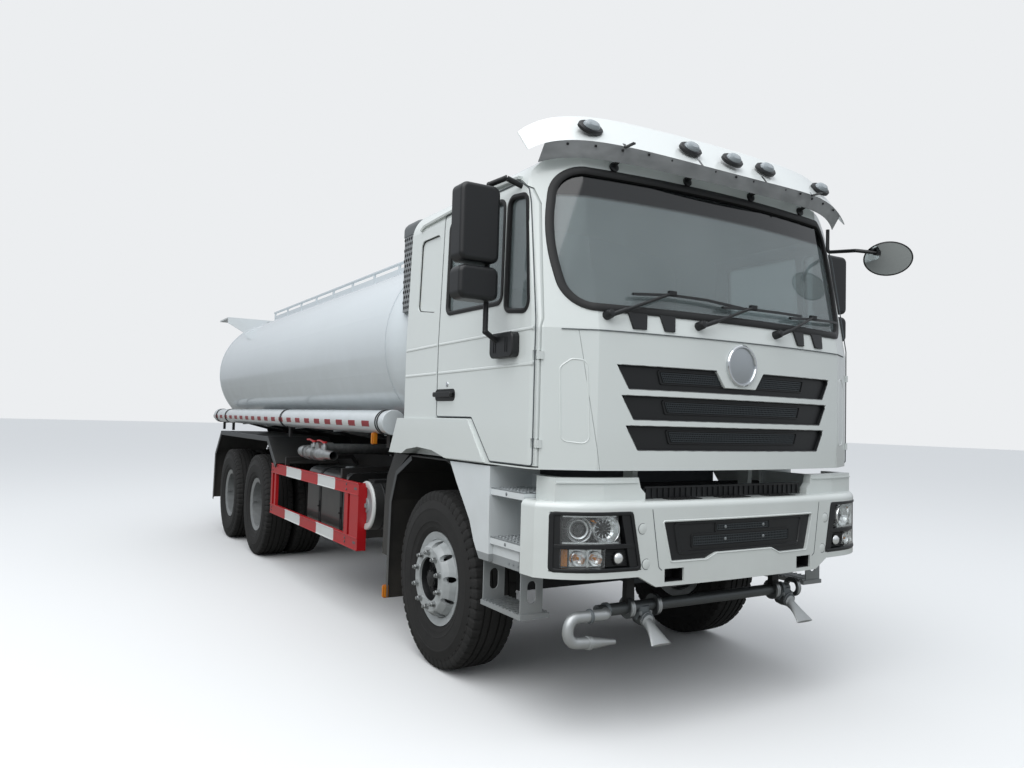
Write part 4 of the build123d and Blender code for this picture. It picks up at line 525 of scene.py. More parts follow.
for side, sign in SIDES:
    lay = cab_side(sign)
    door = f"door_{side}"
    gaskets = [band(divided(rounded(pane, 0.048), 0.15), pane_lip, lay) for pane in (quarter_pane, main_pane)]
    made(f"pane_gaskets_{side}", [(rubber, gaskets)], door)
    # Swages of the door, and those of the cab behind it with the drip rail over the door
    swages, rear = (
        [band(divided(line, 0.2, False), swage, lay, False) for line in lines]
        for lines in (
            (((-1.235, 2.066), (-0.140, 2.052)), ((-1.235, 1.882), (-0.140, 1.872))),
            (((-0.108, 2.052), (0.372, 2.042)), ((-0.108, 1.872), (0.372, 1.868))),
        )
    )
    rear.append(band(divided(drip_rail, 0.2, False), drip_lip, lay, False))
    made(f"door_swages_{side}", [(white_gloss, swages)], door)
    made(f"cab_swages_{side}", [(white_gloss, rear)], "cab")
    blank = band(divided(rounded(blank_pane, 0.048), 0.15), pane_fold, lay)
    made(f"blank_pane_{side}", [(rubber, [blank])], "cab")
    # Handle: dished recess, pull bar on two feet, and lock
    dish = rounded(rect(-0.372, -0.104, 1.700, 1.768), 0.028)
    handle = [band(dish, dish_lip, lay), plate(dish, lay, -0.003, 0.0008)]
    handle.append(plate(rounded(rect(-0.360, -0.120, 1.722, 1.752), 0.012), lay, 0.012, 0.030))
    handle += [plate(rect(y - 0.010, y + 0.010, 1.728, 1.746), lay, -0.002, 0.014) for y in (-0.345, -0.135)]
    lock_form = ((-0.002, 0.016), (0.004, 0.016), (0.005, 0.012), (0.005, 0))
    lock = turned(lock_form, lay((-0.269, 1.800), 0), (sign, 0, 0), 24)
    made(f"door_handle_{side}", [(mould_black, handle), (chrome, [lock])], door, edge=0.002)
    # Cover over the mirror's bracket, with its slots
    cover = rounded(rect(-1.100, -0.860, 1.922, 2.058), 0.032)
    crown = rounded(rect(-1.095, -0.865, 1.927, 2.053), 0.029)
    levels = ((cover, -0.002), (cover, 0.041), (crown, 0.0465))
    points, faces = stacked([[lay(p, out) for p in outline] for outline, out in levels])
    cover_shapes = [(points, faces[1:])]
    cover_shapes += [slab(rect(y, y + 0.005, 1.950, 2.030), lay, 0.046, 0.049) for y in (-1.05, -1.03, -0.93, -0.91)]
    made(f"mirror_cover_{side}", [(mould_black, cover_shapes)], door)
    # Mirror glasses in their housings' rear faces
    glasses, bezels = [], []
    for low_z, high_z in ((2.431, 2.814), (2.231, 2.379)):
        face = lambda point, out: at(sign * point[0], -0.908 + out, point[1])
        pane = rounded(rect(1.348, 1.552, low_z, high_z), 0.03)
        glasses.append(plate(pane, face, -0.001, 0.0015))
        bezels.append(band(pane, bezel_lip, face))
    made(f"mirror_glass_{side}", [(mirror_silver, glasses), (mould_black, bezels)], door)
    # Clamps on the mirror's pole
    sleeve = ((-0.022, 0.015), (-0.022, 0.022), (0.022, 0.022), (0.022, 0.015))
    clamps = [turned(sleeve, at(sign * 1.358, -0.930, z), UP, 20) for z in (2.30, 2.50, 2.74)]
    made(f"mirror_clamps_{side}", [(mould_black, clamps)], door)
for side, sign in SIDES:
    shut = divided(rounded(door_opening, 0.02, 4), 0.15)
    shut_line = band(shut, ridge((0.0025, -0.004), (0.0025, 0.0008)), cab_side(sign))
    made(f"door_shut_line_{side}", [(seam_dark, [shut_line])], "cab")
# Round convex mirror ahead of the left corner, looking down over the bumper
middle, aim = at(1.300, -1.514, 2.710), (-0.500, -0.328, -0.802)
bowl = ((-0.036, 0), (-0.034, 0.040), (-0.022, 0.100), (-0.005, 0.140), (0.006, 0.148), (0.011, 0.146), (0.008, 0.139))
face = turned(((0.007, 0.140), (0.013, 0.100), (0.017, 0.050), (0.018, 0)), middle, aim, 48)
arm_line = [at(1.175, -1.150, 2.950), at(1.175, -1.150, 2.795), at(1.130, -1.400, 2.757), at(1.200, -1.500, 2.735)]
holder = [turned(bowl, middle, aim, 48)]
holder.append(turned(((-0.02, 0.018), (0.02, 0.018), (0.026, 0.012), (0.026, 0)), arm_line[3], LEFT, 20))
holder.append(rod(rounded(arm_line, 0.03, 5, False), 0.012))
made(
    "front_mirror_set", [(mould_black, holder), (mirror_silver, [face])],
    "cab", stands_for=("front_mirror",),
)  # fmt: skip


# ---- Front panel
# Tilting service panel with three long slots. A perforated steel strip sits in each slot's
# dark moulding, and a blank chromed disc covers the middle of the top one.
def strip_mesh(corners, lay, out, pitch, wire):
    """Crossed bars over a four-cornered patch, as punched steel strip reads from a distance."""
    a, b, c, d = (Vector(p) for p in corners)
    side, up = Vector((wire, 0)), Vector((0, wire))
    shapes = []
    count, rows = int((b - a).length / pitch), max(int((d - a).length / pitch), 1)
    for k in range(count + 1):
        low, high = a.lerp(b, k / count), d.lerp(c, k / count)
        shapes.append(slab((low - side, low + side, high + side, high - side), lay, out, out + 0.003))
    for k in range(rows + 1):
        low, high = a.lerp(d, k / rows), b.lerp(c, k / rows)
        shapes.append(slab((low - up, high - up, high + up, low + up), lay, out + 0.0005, out + 0.0035, 24))
    return shapes


mesh_steel = grained("punched_black_steel", "#3d4245", 0.35, 1.5, 0.1, metallic=0.4)
slot_lip = ((-0.002, 0.0005), (0.004, -0.002), (0.006, -0.019), (0.0, -0.019))
strips, lips = [], []
for top_z, bottom_z, half in ((1.894, 1.768, 0.845), (1.736, 1.609, 0.814), (1.579, 1.450, 0.786)):
    mid_z, reach = (top_z + bottom_z) / 2 + 0.008, half - 0.285
    low, high = mid_z - 0.024, mid_z + 0.024
    patch = ((-reach + 0.02, low), (reach - 0.02, low), (reach, high), (-reach, high))
    strips += strip_mesh(patch, cab_front, -0.019, 0.012, 0.0022)
    line = ((-half + 0.075, bottom_z), (half - 0.075, bottom_z), (half, top_z), (-half, top_z))
    lips.append(band(divided(rounded(line, 0.020), 0.12), slot_lip, cab_front))
    # Raised frame of the moulding round the strip
    low, high = mid_z - 0.034, mid_z + 0.034
    line = ((-reach, low), (reach, low), (reach + 0.02, high), (-reach - 0.02, high))
    lips.append(band(divided(rounded(line, 0.008), 0.12), ridge((0.005, -0.020), (0.003, -0.013)), cab_front))
made("slot_strips", [(mesh_steel, strips)], "cab")
made("slot_lips", [(mould_black, lips)], "cab")

disc_centre = cab_front((0, 1.931), 0)
rim_form = ((-0.02, 0.118), (0.010, 0.118), (0.016, 0.112), (0.016, 0.104), (0.010, 0.100), (-0.02, 0.100))
disc_rim = turned(rim_form, disc_centre, FRONT, 64)
disc_face = turned(((-0.02, 0.100), (0.006, 0.100), (0.010, 0.060), (0.011, 0)), disc_centre, FRONT, 64)
# Brushed one way, so its grain is stretched
satin = plain("satin_aluminium", "#b9bec1", ((3, 1, (1, 1, 12)), 0.08, 0.1), Metallic=0.9, Roughness=0.3)
made("blank_disc", [(chrome, [disc_rim]), (satin, [disc_face])], "cab")
# White shield that carries the disc down into the top slot
shield = slab(((-0.122, 1.800), (0.122, 1.800), (0.190, 1.898), (-0.190, 1.898)), cab_front, -0.030, 0.0005, 8, 1)
made("disc_shield", [(white_gloss, [shield])], "cab", edge=0.003)

# Groove along the belt, and the pressed outline in each corner panel
pressed = ((0.985, 1.478), (1.118, 1.492), (1.128, 1.870), (1.075, 1.912), (1.002, 1.906))
outlines = []
for _, sign in SIDES:
    line = rounded([(sign * x, z) for x, z in pressed], 0.035)
    outlines.append(band(line, ridge((0.005, -0.001), (0.001, 0.003)), cab_front))
belt = [(x * 0.045, 2.064) for x in range(-25, 26)]
belt_groove = band(belt, groove, lambda point, out: cab_front(point, out + 0.005), False)
made("panel_seams", [(seam_dark, [belt_groove]), (white_gloss, outlines)], "cab")


# ---- Sun visor
# A bowed white wing on black legs with five marker lamps, and a smoked acrylic strip
# screwed along its lower edge.
def ribbed_lens(name, colour, per_metre, relief, **values):
    """Moulded acrylic with upright ribs inside, which break up what is behind it."""
    material, tree, shader = new_finish(name, Base_Color=linear(colour), IOR=1.49, **values)
    place = add_node(tree, "TexCoord").outputs["Object"]
    ribs = add_node(tree, "TexWave", {"bands_direction": "X"}, Vector=place, Scale=per_metre)
    bump(tree, shader, ribs, *relief)
    return material


# The visor's finish darkens its own brackets, thin plates at four places below its edge
visor_white, tree, shader = new_finish("visor_white_gloss", Roughness=0.3, Coat_Weight=0.6, Coat_Roughness=0.06)
visor_place = add_node(tree, "SeparateXYZ", Vector=add_node(tree, "TexCoord").outputs["Object"])
from_bracket = visor_place.outputs["X"]
for shift in (0.0, 0.510, 0.250):
    from_bracket = add_node(tree, "Math", {"operation": "SUBTRACT"}, Value=from_bracket, Value_001=shift)
    from_bracket = add_node(tree, "Math", {"operation": "ABSOLUTE"}, Value=from_bracket)
on_bracket = add_node(tree, "Math", {"operation": "LESS_THAN"}, Value=from_bracket, Value_001=0.0095)
below_edge = add_node(tree, "Math", {"operation": "LESS_THAN"}, Value=visor_place.outputs["Z"], Value_001=3.0925)
bracket = add_node(tree, "Math", {"operation": "MULTIPLY"}, Value=on_bracket, Value_001=below_edge)
tint(tree, shader, bracket, "#dde2e1", "#131517")
bump(tree, shader, (6, 1), 0.05, 0.4)
repaint(visor_white, "sun_visor")
smoked, tree, shader = new_finish("smoked_acrylic", Roughness=0.12, Transmission_Weight=0.3, IOR=1.49)
# Blotches of mid and light grey over the smoked strip: painted reflections
tint(tree, shader, object_noise(tree, 150, 4, (1, 1, 2)), "#777b7e", "#b4b7b8")
bump(tree, shader, (120, 2), 0.04, 0.3)
repaint(smoked, "visor_shade")
amber_lens = ribbed_lens("amber_lamp_acrylic", "#e08a1e", 60.0, (0.4, 1.0), Roughness=0.1, Transmission_Weight=0.3)
frosted_lens = ribbed_lens(
    "frosted_lamp_acrylic", "#aab3b8", 40.0, (0.2, 0.6), Roughness=0.12, Transmission_Weight=0.25
)
clear = {"Roughness": 0.03, "Transmission_Weight": 0.96, "IOR": 1.3}
clear_lens = plain("clear_lamp_acrylic", "#f1f4f5", ((25, 1), 0.03, 0.3), **clear)
visor_line = ((0, -1.420, 3.045), (0.620, -1.372, 3.066), (1.030, -1.278, 3.072), (1.200, -1.228, 3.036))


def visor_edge(x):
    """A place on the visor's lower line at a distance from the middle."""
    for (x0, y0, z0), (x1, y1, z1) in zip(visor_line, visor_line[1:]):
        if abs(x) <= x1:
            share = (abs(x) - x0) / (x1 - x0)
            return at(x, y0 + (y1 - y0) * share, z0 + (z1 - z0) * share)
    return at(x, y1, z1)


bases, lenses, screws = [], [], []
for x in (-0.938, -0.307, 0.0, 0.307, 0.938):
    place = visor_edge(x) + Vector((0, 0.030, 0.092))
    for target, profile in (
        (bases, ((-0.012, 0.052), (0.004, 0.052), (0.010, 0.046), (0.010, 0))),
        (lenses, ((0.008, 0.036), (0.022, 0.033), (0.032, 0.024), (0.036, 0))),
    ):
        points, faces = turned(profile, (0, 0, 0), (0, -0.80, 0.55), 28)
        target.append(([Vector((p.x * 1.5, p.y, p.z)) + place for p in points], faces))
screw = ((-0.004, 0.007), (0.002, 0.007), (0.004, 0.004), (0.004, 0))
for k in range(15):
    place = visor_edge(-1.08 + k * 0.1543) + Vector((0, -0.001, -0.016))
    screws.append(turned(screw, place, (0, -0.9, -0.4), 12))
made("visor_lamps", [(mould_black, bases), (frosted_lens, lenses)], "cab")
made("visor_screws", [(mould_black, screws)], "cab")
visor_legs = []
for x in (-0.76, -0.26, 0.26, 0.76):
    foot = cab_front((x, 2.985), 0.004)
    bend, head = foot + Vector((0, -0.055, 0.030)), visor_edge(x) + Vector((0, 0.022, 0.030))
    visor_legs.append(rod(rounded((foot + Vector((0, 0.02, 0)), bend, head), 0.02, 4, False), 0.012))
    visor_legs.append(turned(((-0.004, 0.028), (0.008, 0.028), (0.012, 0.02), (0.012, 0)), foot, (0, -1, 0.2), 20))
made("visor_legs", [(mould_black, visor_legs)], "cab")


# ---- Bumper
# Pressed steel shell, white, with blank covers over its bolt holes, black anti-slip pads on
# its top and punched black steel behind the grille opening.
bumper_nose_y = front_axle_y - 1.520
front_radius, corner_radius, corner_start_x = 9.664, 0.470, 0.8562


def bumper_face(point, out):
    """A place on the bumper's bowed face and round its corners."""
    x, z = point
    if abs(x) <= 0.9:
        radius, centre_y, across = front_radius, front_radius, x
    else:
        radius, centre_y = corner_radius, 0.510
        across = math.copysign(min(abs(x) - corner_start_x, 0.469), x)
    normal = Vector((across, -math.sqrt(radius**2 - across * across))) / radius
    return Vector((x + normal.x * out, bumper_nose_y + centre_y + normal.y * (radius + out), z))


def bolts(places, axis, radius, height):
    """Hexagon heads on washers, standing out along an axis."""
    washer = ((-0.002, radius * 1.6), (0.002, radius * 1.6), (0.002, 0))
    head = ((0, radius), (height * 0.85, radius), (height, radius * 0.8), (height, 0))
    return [turned(form, place, axis, sides) for place in places for form, sides in ((washer, 16), (head, 6))]


covers, cover_rims = [], []
cover_rim = ((-0.003, 0.026), (-0.003, 0.0285), (0.0006, 0.0285), (0.0006, 0.026))
for _, sign in SIDES:
    for x, z in ((0.716, 1.053), (0.690, 0.872)):
        centre = bumper_face((sign * x, z), 0)
        covers.append(turned(((-0.004, 0.026), (0.0008, 0.026), (0.0025, 0.022), (0.0025, 0)), centre, FRONT, 28))
        cover_rims.append(turned(cover_rim, centre, FRONT, 28, True))
    joint = rounded(((sign * 0.655, 1.150), (sign * 0.610, 0.850), (sign * 0.590, 0.835)), 0.02, 4, False)
    cover_rims.append(band(divided(joint, 0.08, False), groove, bumper_face, False))
made("bumper_covers", [(white_gloss, covers), (seam_dark, cover_rims)], "chassis")

pads = []
top = lambda point, out: Vector((point.x, bumper_nose_y + point.y, 1.190 + out))
for x0, x1 in ((-0.500, -0.258), (-0.120, 0.120), (0.258, 0.500)):
    pads.append(plate(rounded(rect(x0, x1, 0.052, 0.142), 0.03), top, -0.001, 0.003))
    for row in range(3):
        for k in range(8):
            place = top(Vector((x0 + 0.028 + k * (x1 - x0 - 0.056) / 7, 0.072 + row * 0.025)), 0)
            pads.append(turned(((0.002, 0.005), (0.0055, 0.004), (0.0055, 0)), place, UP, 8))
made("step_pads", [(rubber, pads)], "chassis")

bare_bolt = grained("zinc_plated_bolt", "#9ea3a5", 0.35, 2, 0.1, metallic=0.8)
grille_line = (
    (-0.588, 1.088), (-0.533, 0.873), (-0.285, 0.873), (-0.215, 0.903),
    (0.215, 0.903), (0.285, 0.873), (0.533, 0.873), (0.588, 1.088),
)  # fmt: skip
grille_edge = ((-0.004, 0.0), (0.0, 0.004), (0.006, 0.002), (0.006, -0.026), (0.0, -0.026))
grille_lip = band(divided(rounded(grille_line, 0.012), 0.1), grille_edge, bumper_face)
bars, frames = [], []
for half, low_z, high_z in ((0.37, 0.953, 0.996), (0.20, 1.026, 1.052)):
    bars += strip_mesh(rect(-half, half, low_z, high_z), bumper_face, -0.014, 0.013, 0.0026)
    line = rounded(rect(-half - 0.012, half + 0.012, low_z - 0.012, high_z + 0.012), 0.01)
    frames.append(band(divided(line, 0.1), ridge((0.006, -0.015), (0.004, -0.009)), bumper_face))
line = rounded(((-0.47, 0.915), (0.47, 0.915), (0.50, 1.072), (-0.50, 1.072)), 0.02)
frames.append(band(divided(line, 0.1), ridge((0.010, -0.015), (0.006, -0.008)), bumper_face))
button = ((-0.002, 0.009), (0.004, 0.009), (0.006, 0.006), (0.006, 0))
buttons = [turned(button, bumper_face((x, z), -0.013), FRONT, 12) for x in (-0.14, 0.16) for z in (0.975, 1.040)]
grille_parts = [(mesh_steel, bars), (mould_black, frames), (bare_bolt, buttons)]
made("grille_strips", grille_parts, "chassis")
made("grille_lip", [(white_gloss, [grille_lip])], "chassis")
# Slats and punched strip on the moulding over the bumper
over = lambda point, out: Vector((point.x, bumper_nose_y + 0.147 - out, point.y))
slats = [slab(rect(x, x + 0.008, 1.196, 1.250), over, -0.001, 0.006) for x in (-0.60 + k * 0.0414 for k in range(30))]
slats.append(slab(rect(-0.612, 0.612, 1.246, 1.256), over, -0.001, 0.008))
made("top_slats", [(mould_black, slats)], "chassis")
# Step line pressed along each filler box, and black boxes behind the tow holes, a painted shade that keeps the holes
# dark
ledges, tow_hole_shades = [], []
for _, sign in SIDES:
    ledge = [(sign * 0.690, 0.104), (sign * 0.900, 0.116), (sign * 1.158, 0.178)]
    box_top = lambda point, out: Vector((point.x, bumper_nose_y + point.y, out))
    ledges.append(band(divided(ledge, 0.1, False), ridge((0.006, 1.280), (0.006, 1.286)), box_top, False))
    hole = rect(0.4435, 0.5705, 0.7725, 0.8395)
    mirrored = lambda point, out: bumper_face((sign * point[0], point[1]), out)
    tow_hole_shades.append(band(hole, ((-0.001, -0.012), (0.002, -0.012), (0.002, -0.095), (-0.001, -0.095)), mirrored))
    tow_hole_shades.append(slab(hole, mirrored, -0.098, -0.094))
made("filler_ledges", [(white_gloss, ledges)], "chassis")
made("tow_hole_boxes", [(rubber, tow_hole_shades)], "chassis")
soften(0.006, "front_bumper")


# ---- Headlamps
# A black moulded surround in each opening, with a lamp unit of chromed bowls behind one
# clear moulded lens, a row of small lamps below it and a ball fog lamp beside them.
reflector_silver = grained("vapour_silvered_reflector", "#f2f4f4", 0.2, 20, 0.3, metallic=0.85, worn=0.92)
surround_edge = ((-0.003, 0.001), (0.004, 0.004), (0.016, 0.002), (0.018, -0.034), (0.0, -0.034))
# Slabs as corners, low, high, and how often they are divided across and up: the surround's
# back, shelf, cheeks and fog lamp plate, then what shines in the lamp unit
surround_slabs = (
    (((0.722, 0.846), (1.188, 0.846), (1.188, 1.140), (0.778, 1.140)), -0.060, -0.052, 10, 2),
    (((0.745, 0.958), (1.182, 0.958), (1.182, 0.980), (0.750, 0.980)), -0.055, -0.002, 10, 1),
    (((0.738, 0.860), (0.788, 0.860), (0.842, 1.126), (0.792, 1.126)), -0.055, -0.004, 2, 6),
    (rect(1.148, 1.176, 0.860, 1.126), -0.055, -0.006, 2, 6),
    (((0.790, 0.866), (0.930, 0.866), (0.930, 0.952), (0.806, 0.952)), -0.055, -0.020, 3, 1),
    (((0.846, 0.984), (1.146, 0.984), (1.146, 1.124), (0.866, 1.124)), -0.054, -0.046, 10, 2),
) + tuple(
    (((0.796, z), (0.926, z), (0.926, z + 0.004), (0.800, z + 0.004)), -0.022, -0.014, 3, 1)
    for z in (0.878 + k * 0.0155 for k in range(5))
)
bright_slabs = (
    (((0.856, 0.984), (1.140, 0.984), (1.140, 0.992), (0.858, 0.992)), -0.046, -0.010, 10, 1),
    (((0.872, 1.116), (1.140, 1.116), (1.140, 1.123), (0.874, 1.123)), -0.046, -0.012, 10, 1),
    (rect(1.030, 1.110, 0.868, 0.952), -0.050, -0.040, 3, 1),
    (rect(0.942, 1.022, 0.868, 0.952), -0.050, -0.040, 3, 1),
    (rect(1.024, 1.030, 0.870, 0.950), -0.046, -0.010),
)
lens_slabs = (
    (((0.846, 0.981), (1.150, 0.981), (1.150, 1.127), (0.866, 1.127)), -0.009, -0.006, 14, 4),
    (rect(0.938, 1.150, 0.864, 0.956), -0.009, -0.006, 10, 3),
)
# Turned forms: the round reflector with its bulb, the projector with its ring and lens, and
# the small lamps' cells and the fog lamp
reflector_bowl = (
    (-0.046, 0.010), (-0.044, 0.026), (-0.036, 0.046), (-0.022, 0.060),
    (-0.002, 0.067), (0.002, 0.070), (-0.004, 0.073), (-0.04, 0.073),
)  # fmt: skip
reflector_bulb = ((-0.046, 0.009), (-0.014, 0.009), (-0.008, 0.006), (-0.006, 0))
projector_bowl = ((-0.04, 0.066), (-0.006, 0.066), (0.0, 0.062), (-0.006, 0.056), (-0.020, 0.048), (-0.024, 0.036))
projector_ring = ((-0.026, 0.040), (-0.012, 0.036), (-0.010, 0.032), (-0.020, 0.028))
projector_lens = ((-0.026, 0.030), (-0.014, 0.027), (-0.006, 0.018), (-0.003, 0))
marker_bulb = ((-0.045, 0.006), (-0.018, 0.006), (-0.012, 0.004), (-0.011, 0))
cell_bowl = ((-0.026, 0.008), (-0.020, 0.022), (-0.006, 0.034), (0.0, 0.036), (-0.004, 0.039), (-0.026, 0.039))
cell_bulb = ((-0.026, 0.007), (-0.010, 0.008), (-0.003, 0.005), (-0.002, 0))
fog_ball = ((-0.008, 0.030), (0.002, 0.029), (0.010, 0.022), (0.014, 0.012), (0.015, 0))
fog_ring = ((-0.010, 0.036), (0.004, 0.036), (0.004, 0.030), (-0.010, 0.030))
for side, sign in SIDES:
    mirrored = lambda point, out: bumper_face((sign * point[0], point[1]), out)
    opening = ((0.720, 0.845), (1.190, 0.845), (1.190, 1.141), (0.778, 1.141))
    shell = band(divided(rounded(opening, 0.022, 5), 0.05), surround_edge, mirrored)
    dark, bright, panes = (
        [slab(corners, mirrored, *rest) for corners, *rest in slabs]
        for slabs in (surround_slabs, bright_slabs, lens_slabs)
    )
    outward, facing = (mirrored((x, 1.05), 1) - mirrored((x, 1.05), 0) for x in (0.96, 1.068))
    reflector, projector = mirrored((0.925, 1.054), -0.012), mirrored((1.068, 1.054), -0.012)
    fog = mirrored((0.852, 0.908), -0.012)
    dark += [turned(projector_ring, projector, facing, 36), turned(fog_ring, fog, FRONT, 28, True)]
    bright += [turned(reflector_bowl, reflector, outward, 40), turned(projector_bowl, projector, facing, 40)]
    bright.append(turned(fog_ball, fog, FRONT, 28))
    across, up = outward.cross(Vector(UP)).normalized(), Vector(UP)
    for turn in (math.tau * (k + 0.5) / 12 for k in range(12)):
        arm = across * math.cos(turn) + up * math.sin(turn)
        inner, outer = reflector + outward * -0.042 + arm * 0.020, reflector + outward * -0.022 + arm * 0.056
        bright.append(rod((inner, outer), 0.0025, 6))
    bulbs = [turned(reflector_bulb, reflector, outward, 16), turned(projector_lens, projector, facing, 32)]
    amber = [slab(rect(1.118, 1.146, 0.868, 0.952), mirrored, -0.050, -0.040, 3, 1)]
    amber.append(turned(marker_bulb, mirrored((0.997, 1.098), 0), outward, 14))
    for cell in (mirrored((x, 0.910), -0.016) for x in (1.068, 0.984)):
        bright.append(turned(cell_bowl, cell, outward, 28))
        amber.append(turned(cell_bulb, cell, outward, 14))
    made(f"lamp_surround_{side}", [(mould_black, [shell] + dark)], "chassis", edge=0.002)
    made(f"lamp_bowls_{side}", [(reflector_silver, bright), (amber_lens, amber)], "chassis")
    made(f"lamp_bulbs_{side}", [(clear_lens, bulbs)], "chassis")
    hidden = ("headlamps",) if side == "left" else ()
    made(f"lamp_lens_{side}", [(clear_lens, panes)], "chassis", stands_for=hidden)


# ---- Boarding steps
# Galvanised pressings: perforated treads in a recess behind the bumper, and a hanging step
# on two slotted plates, bolted under the lower tread.
zinc, tree, shader = new_finish("galvanised_sheet", Metallic=0.55, Roughness=0.5)
# Zinc spangle, about 14 mm wide
spangle = add_node(tree, "TexVoronoi", Vector=add_node(tree, "TexCoord").outputs["Object"], Scale=1000 / 14)
tint(tree, shader, spangle.outputs["Distance"], "#7f8588", "#a4aaad", dust=("#7d776c", 0.4, 1.4, 0.5))
bump(tree, shader, (10, 3), 0.1, 0.3)
# Painted white above the hanging step's plates
step_white, tree, shader = new_finish("step_white_over_zinc", Roughness=0.4, Coat_Weight=0.3)
above_plates = along_axis(tree, "Z", 0.851, 0.853)
tint(tree, shader, above_plates, "#8b9194", "#d6dcde", dust=("#837d72", 0.4, 1.5, 0.5))
bump(tree, shader, (8, 2), 0.1, 0.3)
repaint(step_white, "boarding_steps")
# Black discs laid in the punched holes: painted shade of the dark seen through them
hole_shade = grained("punched_hole_black", "#17191b", 0.9)
hole_pitch = 0.034
for side, sign in SIDES:
    treads, holes = [], []
    level = lambda point, out: at(sign * point.x, point.y, out)
    for top_z in (1.210, 0.942):
        treads.append(plate(rect(0.975, 1.222, -1.140, -0.822), level, top_z - 0.001, top_z + 0.004))
        treads.append(plate(rect(1.218, 1.2265, -1.145, -0.816), level, top_z - 0.034, top_z + 0.007))
        for row in range(7):
            for k in range(9):
                start_y = -1.120 + hole_pitch / 2 * (row % 2)
                place = level(Vector((0.998 + row * hole_pitch, start_y + k * hole_pitch)), top_z + 0.004)
                holes.append(turned(((0, 0.0115), (0.0012, 0.0115), (0.0012, 0)), place, UP, 10))
                raised = ((0, 0.0115), (0.004, 0.0125), (0.004, 0.0145), (0, 0.0165))
                treads.append(turned(raised, place, UP, 10, True))
    outward = (sign, 0, 0)
    holes.append(turned(((0, 0.020), (0.0016, 0.020), (0.0016, 0)), at(sign * 0.9595, -1.035, 1.105), outward, 20))
    # Bracket with three bolts over the hanging plates, and ribs on the hanging tread
    face = lambda point, out: at(sign * (1.2015 + out), *point)
    treads.append(plate(rounded(rect(-1.110, -0.670, 0.806, 0.850), 0.008), face, -0.006, 0.004))
    for y in (-1.092 + k * 0.036 for k in range(12)):
        treads.append(plate(rect(1.022, 1.194, y, y + 0.012), level, 0.574, 0.582))
    bracket_ys = (-1.085, -1.040, -0.995, -0.785, -0.740, -0.695)
    treads += bolts([at(sign * 1.2055, y, 0.828) for y in bracket_ys], outward, 0.008, 0.006)
    treads += bolts([at(sign * 1.2265, -0.98, z) for z in (0.926, 1.194)], outward, 0.006, 0.004)
    made(f"step_treads_{side}", [(zinc, treads), (hole_shade, holes)], "chassis")


# ---- Spray pipes
# Welded steel pipe under the bumper with flanged elbows, ball valves and two flattened
# bills that spread the water, sprayed silver, and a curled pipe with a tapered nozzle.
def circle(centre, radius, count, shift=0.0):
    """Places round a centre in the upright plane that runs lengthwise."""
    turns = [math.tau * (k + shift) / count for k in range(count)]
    return [Vector(centre) + Vector((0, math.cos(t), math.sin(t))) * radius for t in turns]


def collar(along, bore, radius, bevel=0.0):
    """A ring's section from half its length, its bore and its radius, its outer edges cut back by a bevel."""
    return [(-along, bore), (bevel - along, radius), (along - bevel, radius), (along, bore)]


# Sprayed silver as far as it shows, darker and rustier behind
pipe_silver, tree, shader = new_finish("silvered_pipe_steel", Metallic=0.75, Roughness=0.42)
in_sight = along_axis(tree, "Y", front_axle_y - 1.36, front_axle_y - 1.35, 1.0, 0.0)
tint(tree, shader, in_sight, "#5f6466", "#c6cacb", dust=("#4d4943", 0.4, 0.9, 0.7))
bump(tree, shader, (12, 4), 0.25, 0.6)
valve_grey = grained("cast_valve_grey", "#6c7275", 0.5, 2.5, 0.3, metallic=0.3)
pipe_y, pipe_z = -1.310, 0.610
on_pipe = lambda x, y=0.0, z=0.0: at(x, pipe_y + y, pipe_z + z)
pipes = [rod((on_pipe(-0.860), on_pipe(0.600)), 0.032, 24)]
curl = [on_pipe(-0.840), on_pipe(-0.840, -0.075), on_pipe(-1.085, -0.075, 0.005)]
curl += [on_pipe(-1.105, -0.080, -0.115), on_pipe(-0.960, -0.078, -0.130)]
pipes.append(rod(rounded(curl, 0.055, 7, False), 0.029, 20))
nozzle = (
    (-0.02, 0.029), (-0.018, 0.034), (0.004, 0.034), (0.006, 0.029), (0.050, 0.026),
    (0.120, 0.016), (0.160, 0.014), (0.162, 0.010), (0.150, 0.0),
)  # fmt: skip
pipes.append(turned(nozzle, curl[-1], (0.145, 0.002, -0.012), 24))
hangers = []
for x in (-0.650, 0.480):
    hanger = ((x - 0.030, pipe_z - 0.010), (x + 0.030, pipe_z - 0.010), (x + 0.022, 0.8197), (x - 0.022, 0.8197))
    upright_face = lambda point, out: at(point[0], pipe_y + out, point[1])
    hangers.append(plate(rounded(hanger, 0.004, 3), upright_face, -0.018, 0.018))
elbow = ((-0.030, 0.034), (0.0, 0.040), (0.060, 0.040), (0.066, 0.030), (0.066, 0))
turns = [math.tau * k / 28 for k in range(28)]
for _, sign in SIDES:
    mouth = on_pipe(sign * 0.562, 0, -0.062)
    pipes.append(turned(((0.0, 0.030), (0.062, 0.030)), mouth, UP, 24))
    pipes.append(turned(elbow, mouth, FRONT, 28))
    # The bill flattens and widens as it drops
    bill = []
    for share in (n / 8 for n in range(9)):
        wide = Vector((0.030 + 0.038 * share**1.6, 0, 0))
        thick = Vector((0, -0.45 - 0.15 * share, 0.85)).normalized()
        thick *= 0.030 - 0.021 * math.sin(share * math.pi / 2)
        reach = mouth + Vector((0, -0.050 - 0.118 * share, -0.013 - 0.060 * share - 0.030 * share * share))
        bill.append([reach + wide * math.cos(t) + thick * math.sin(t) for t in turns])
    pipes.append(stacked(bill))
spray_parts = [(pipe_silver, pipes), (rubber, hangers)]
made("spray_set", spray_parts, "chassis", stands_for=("spray_pipes",))
flanges, nuts, bodies = [], [], []
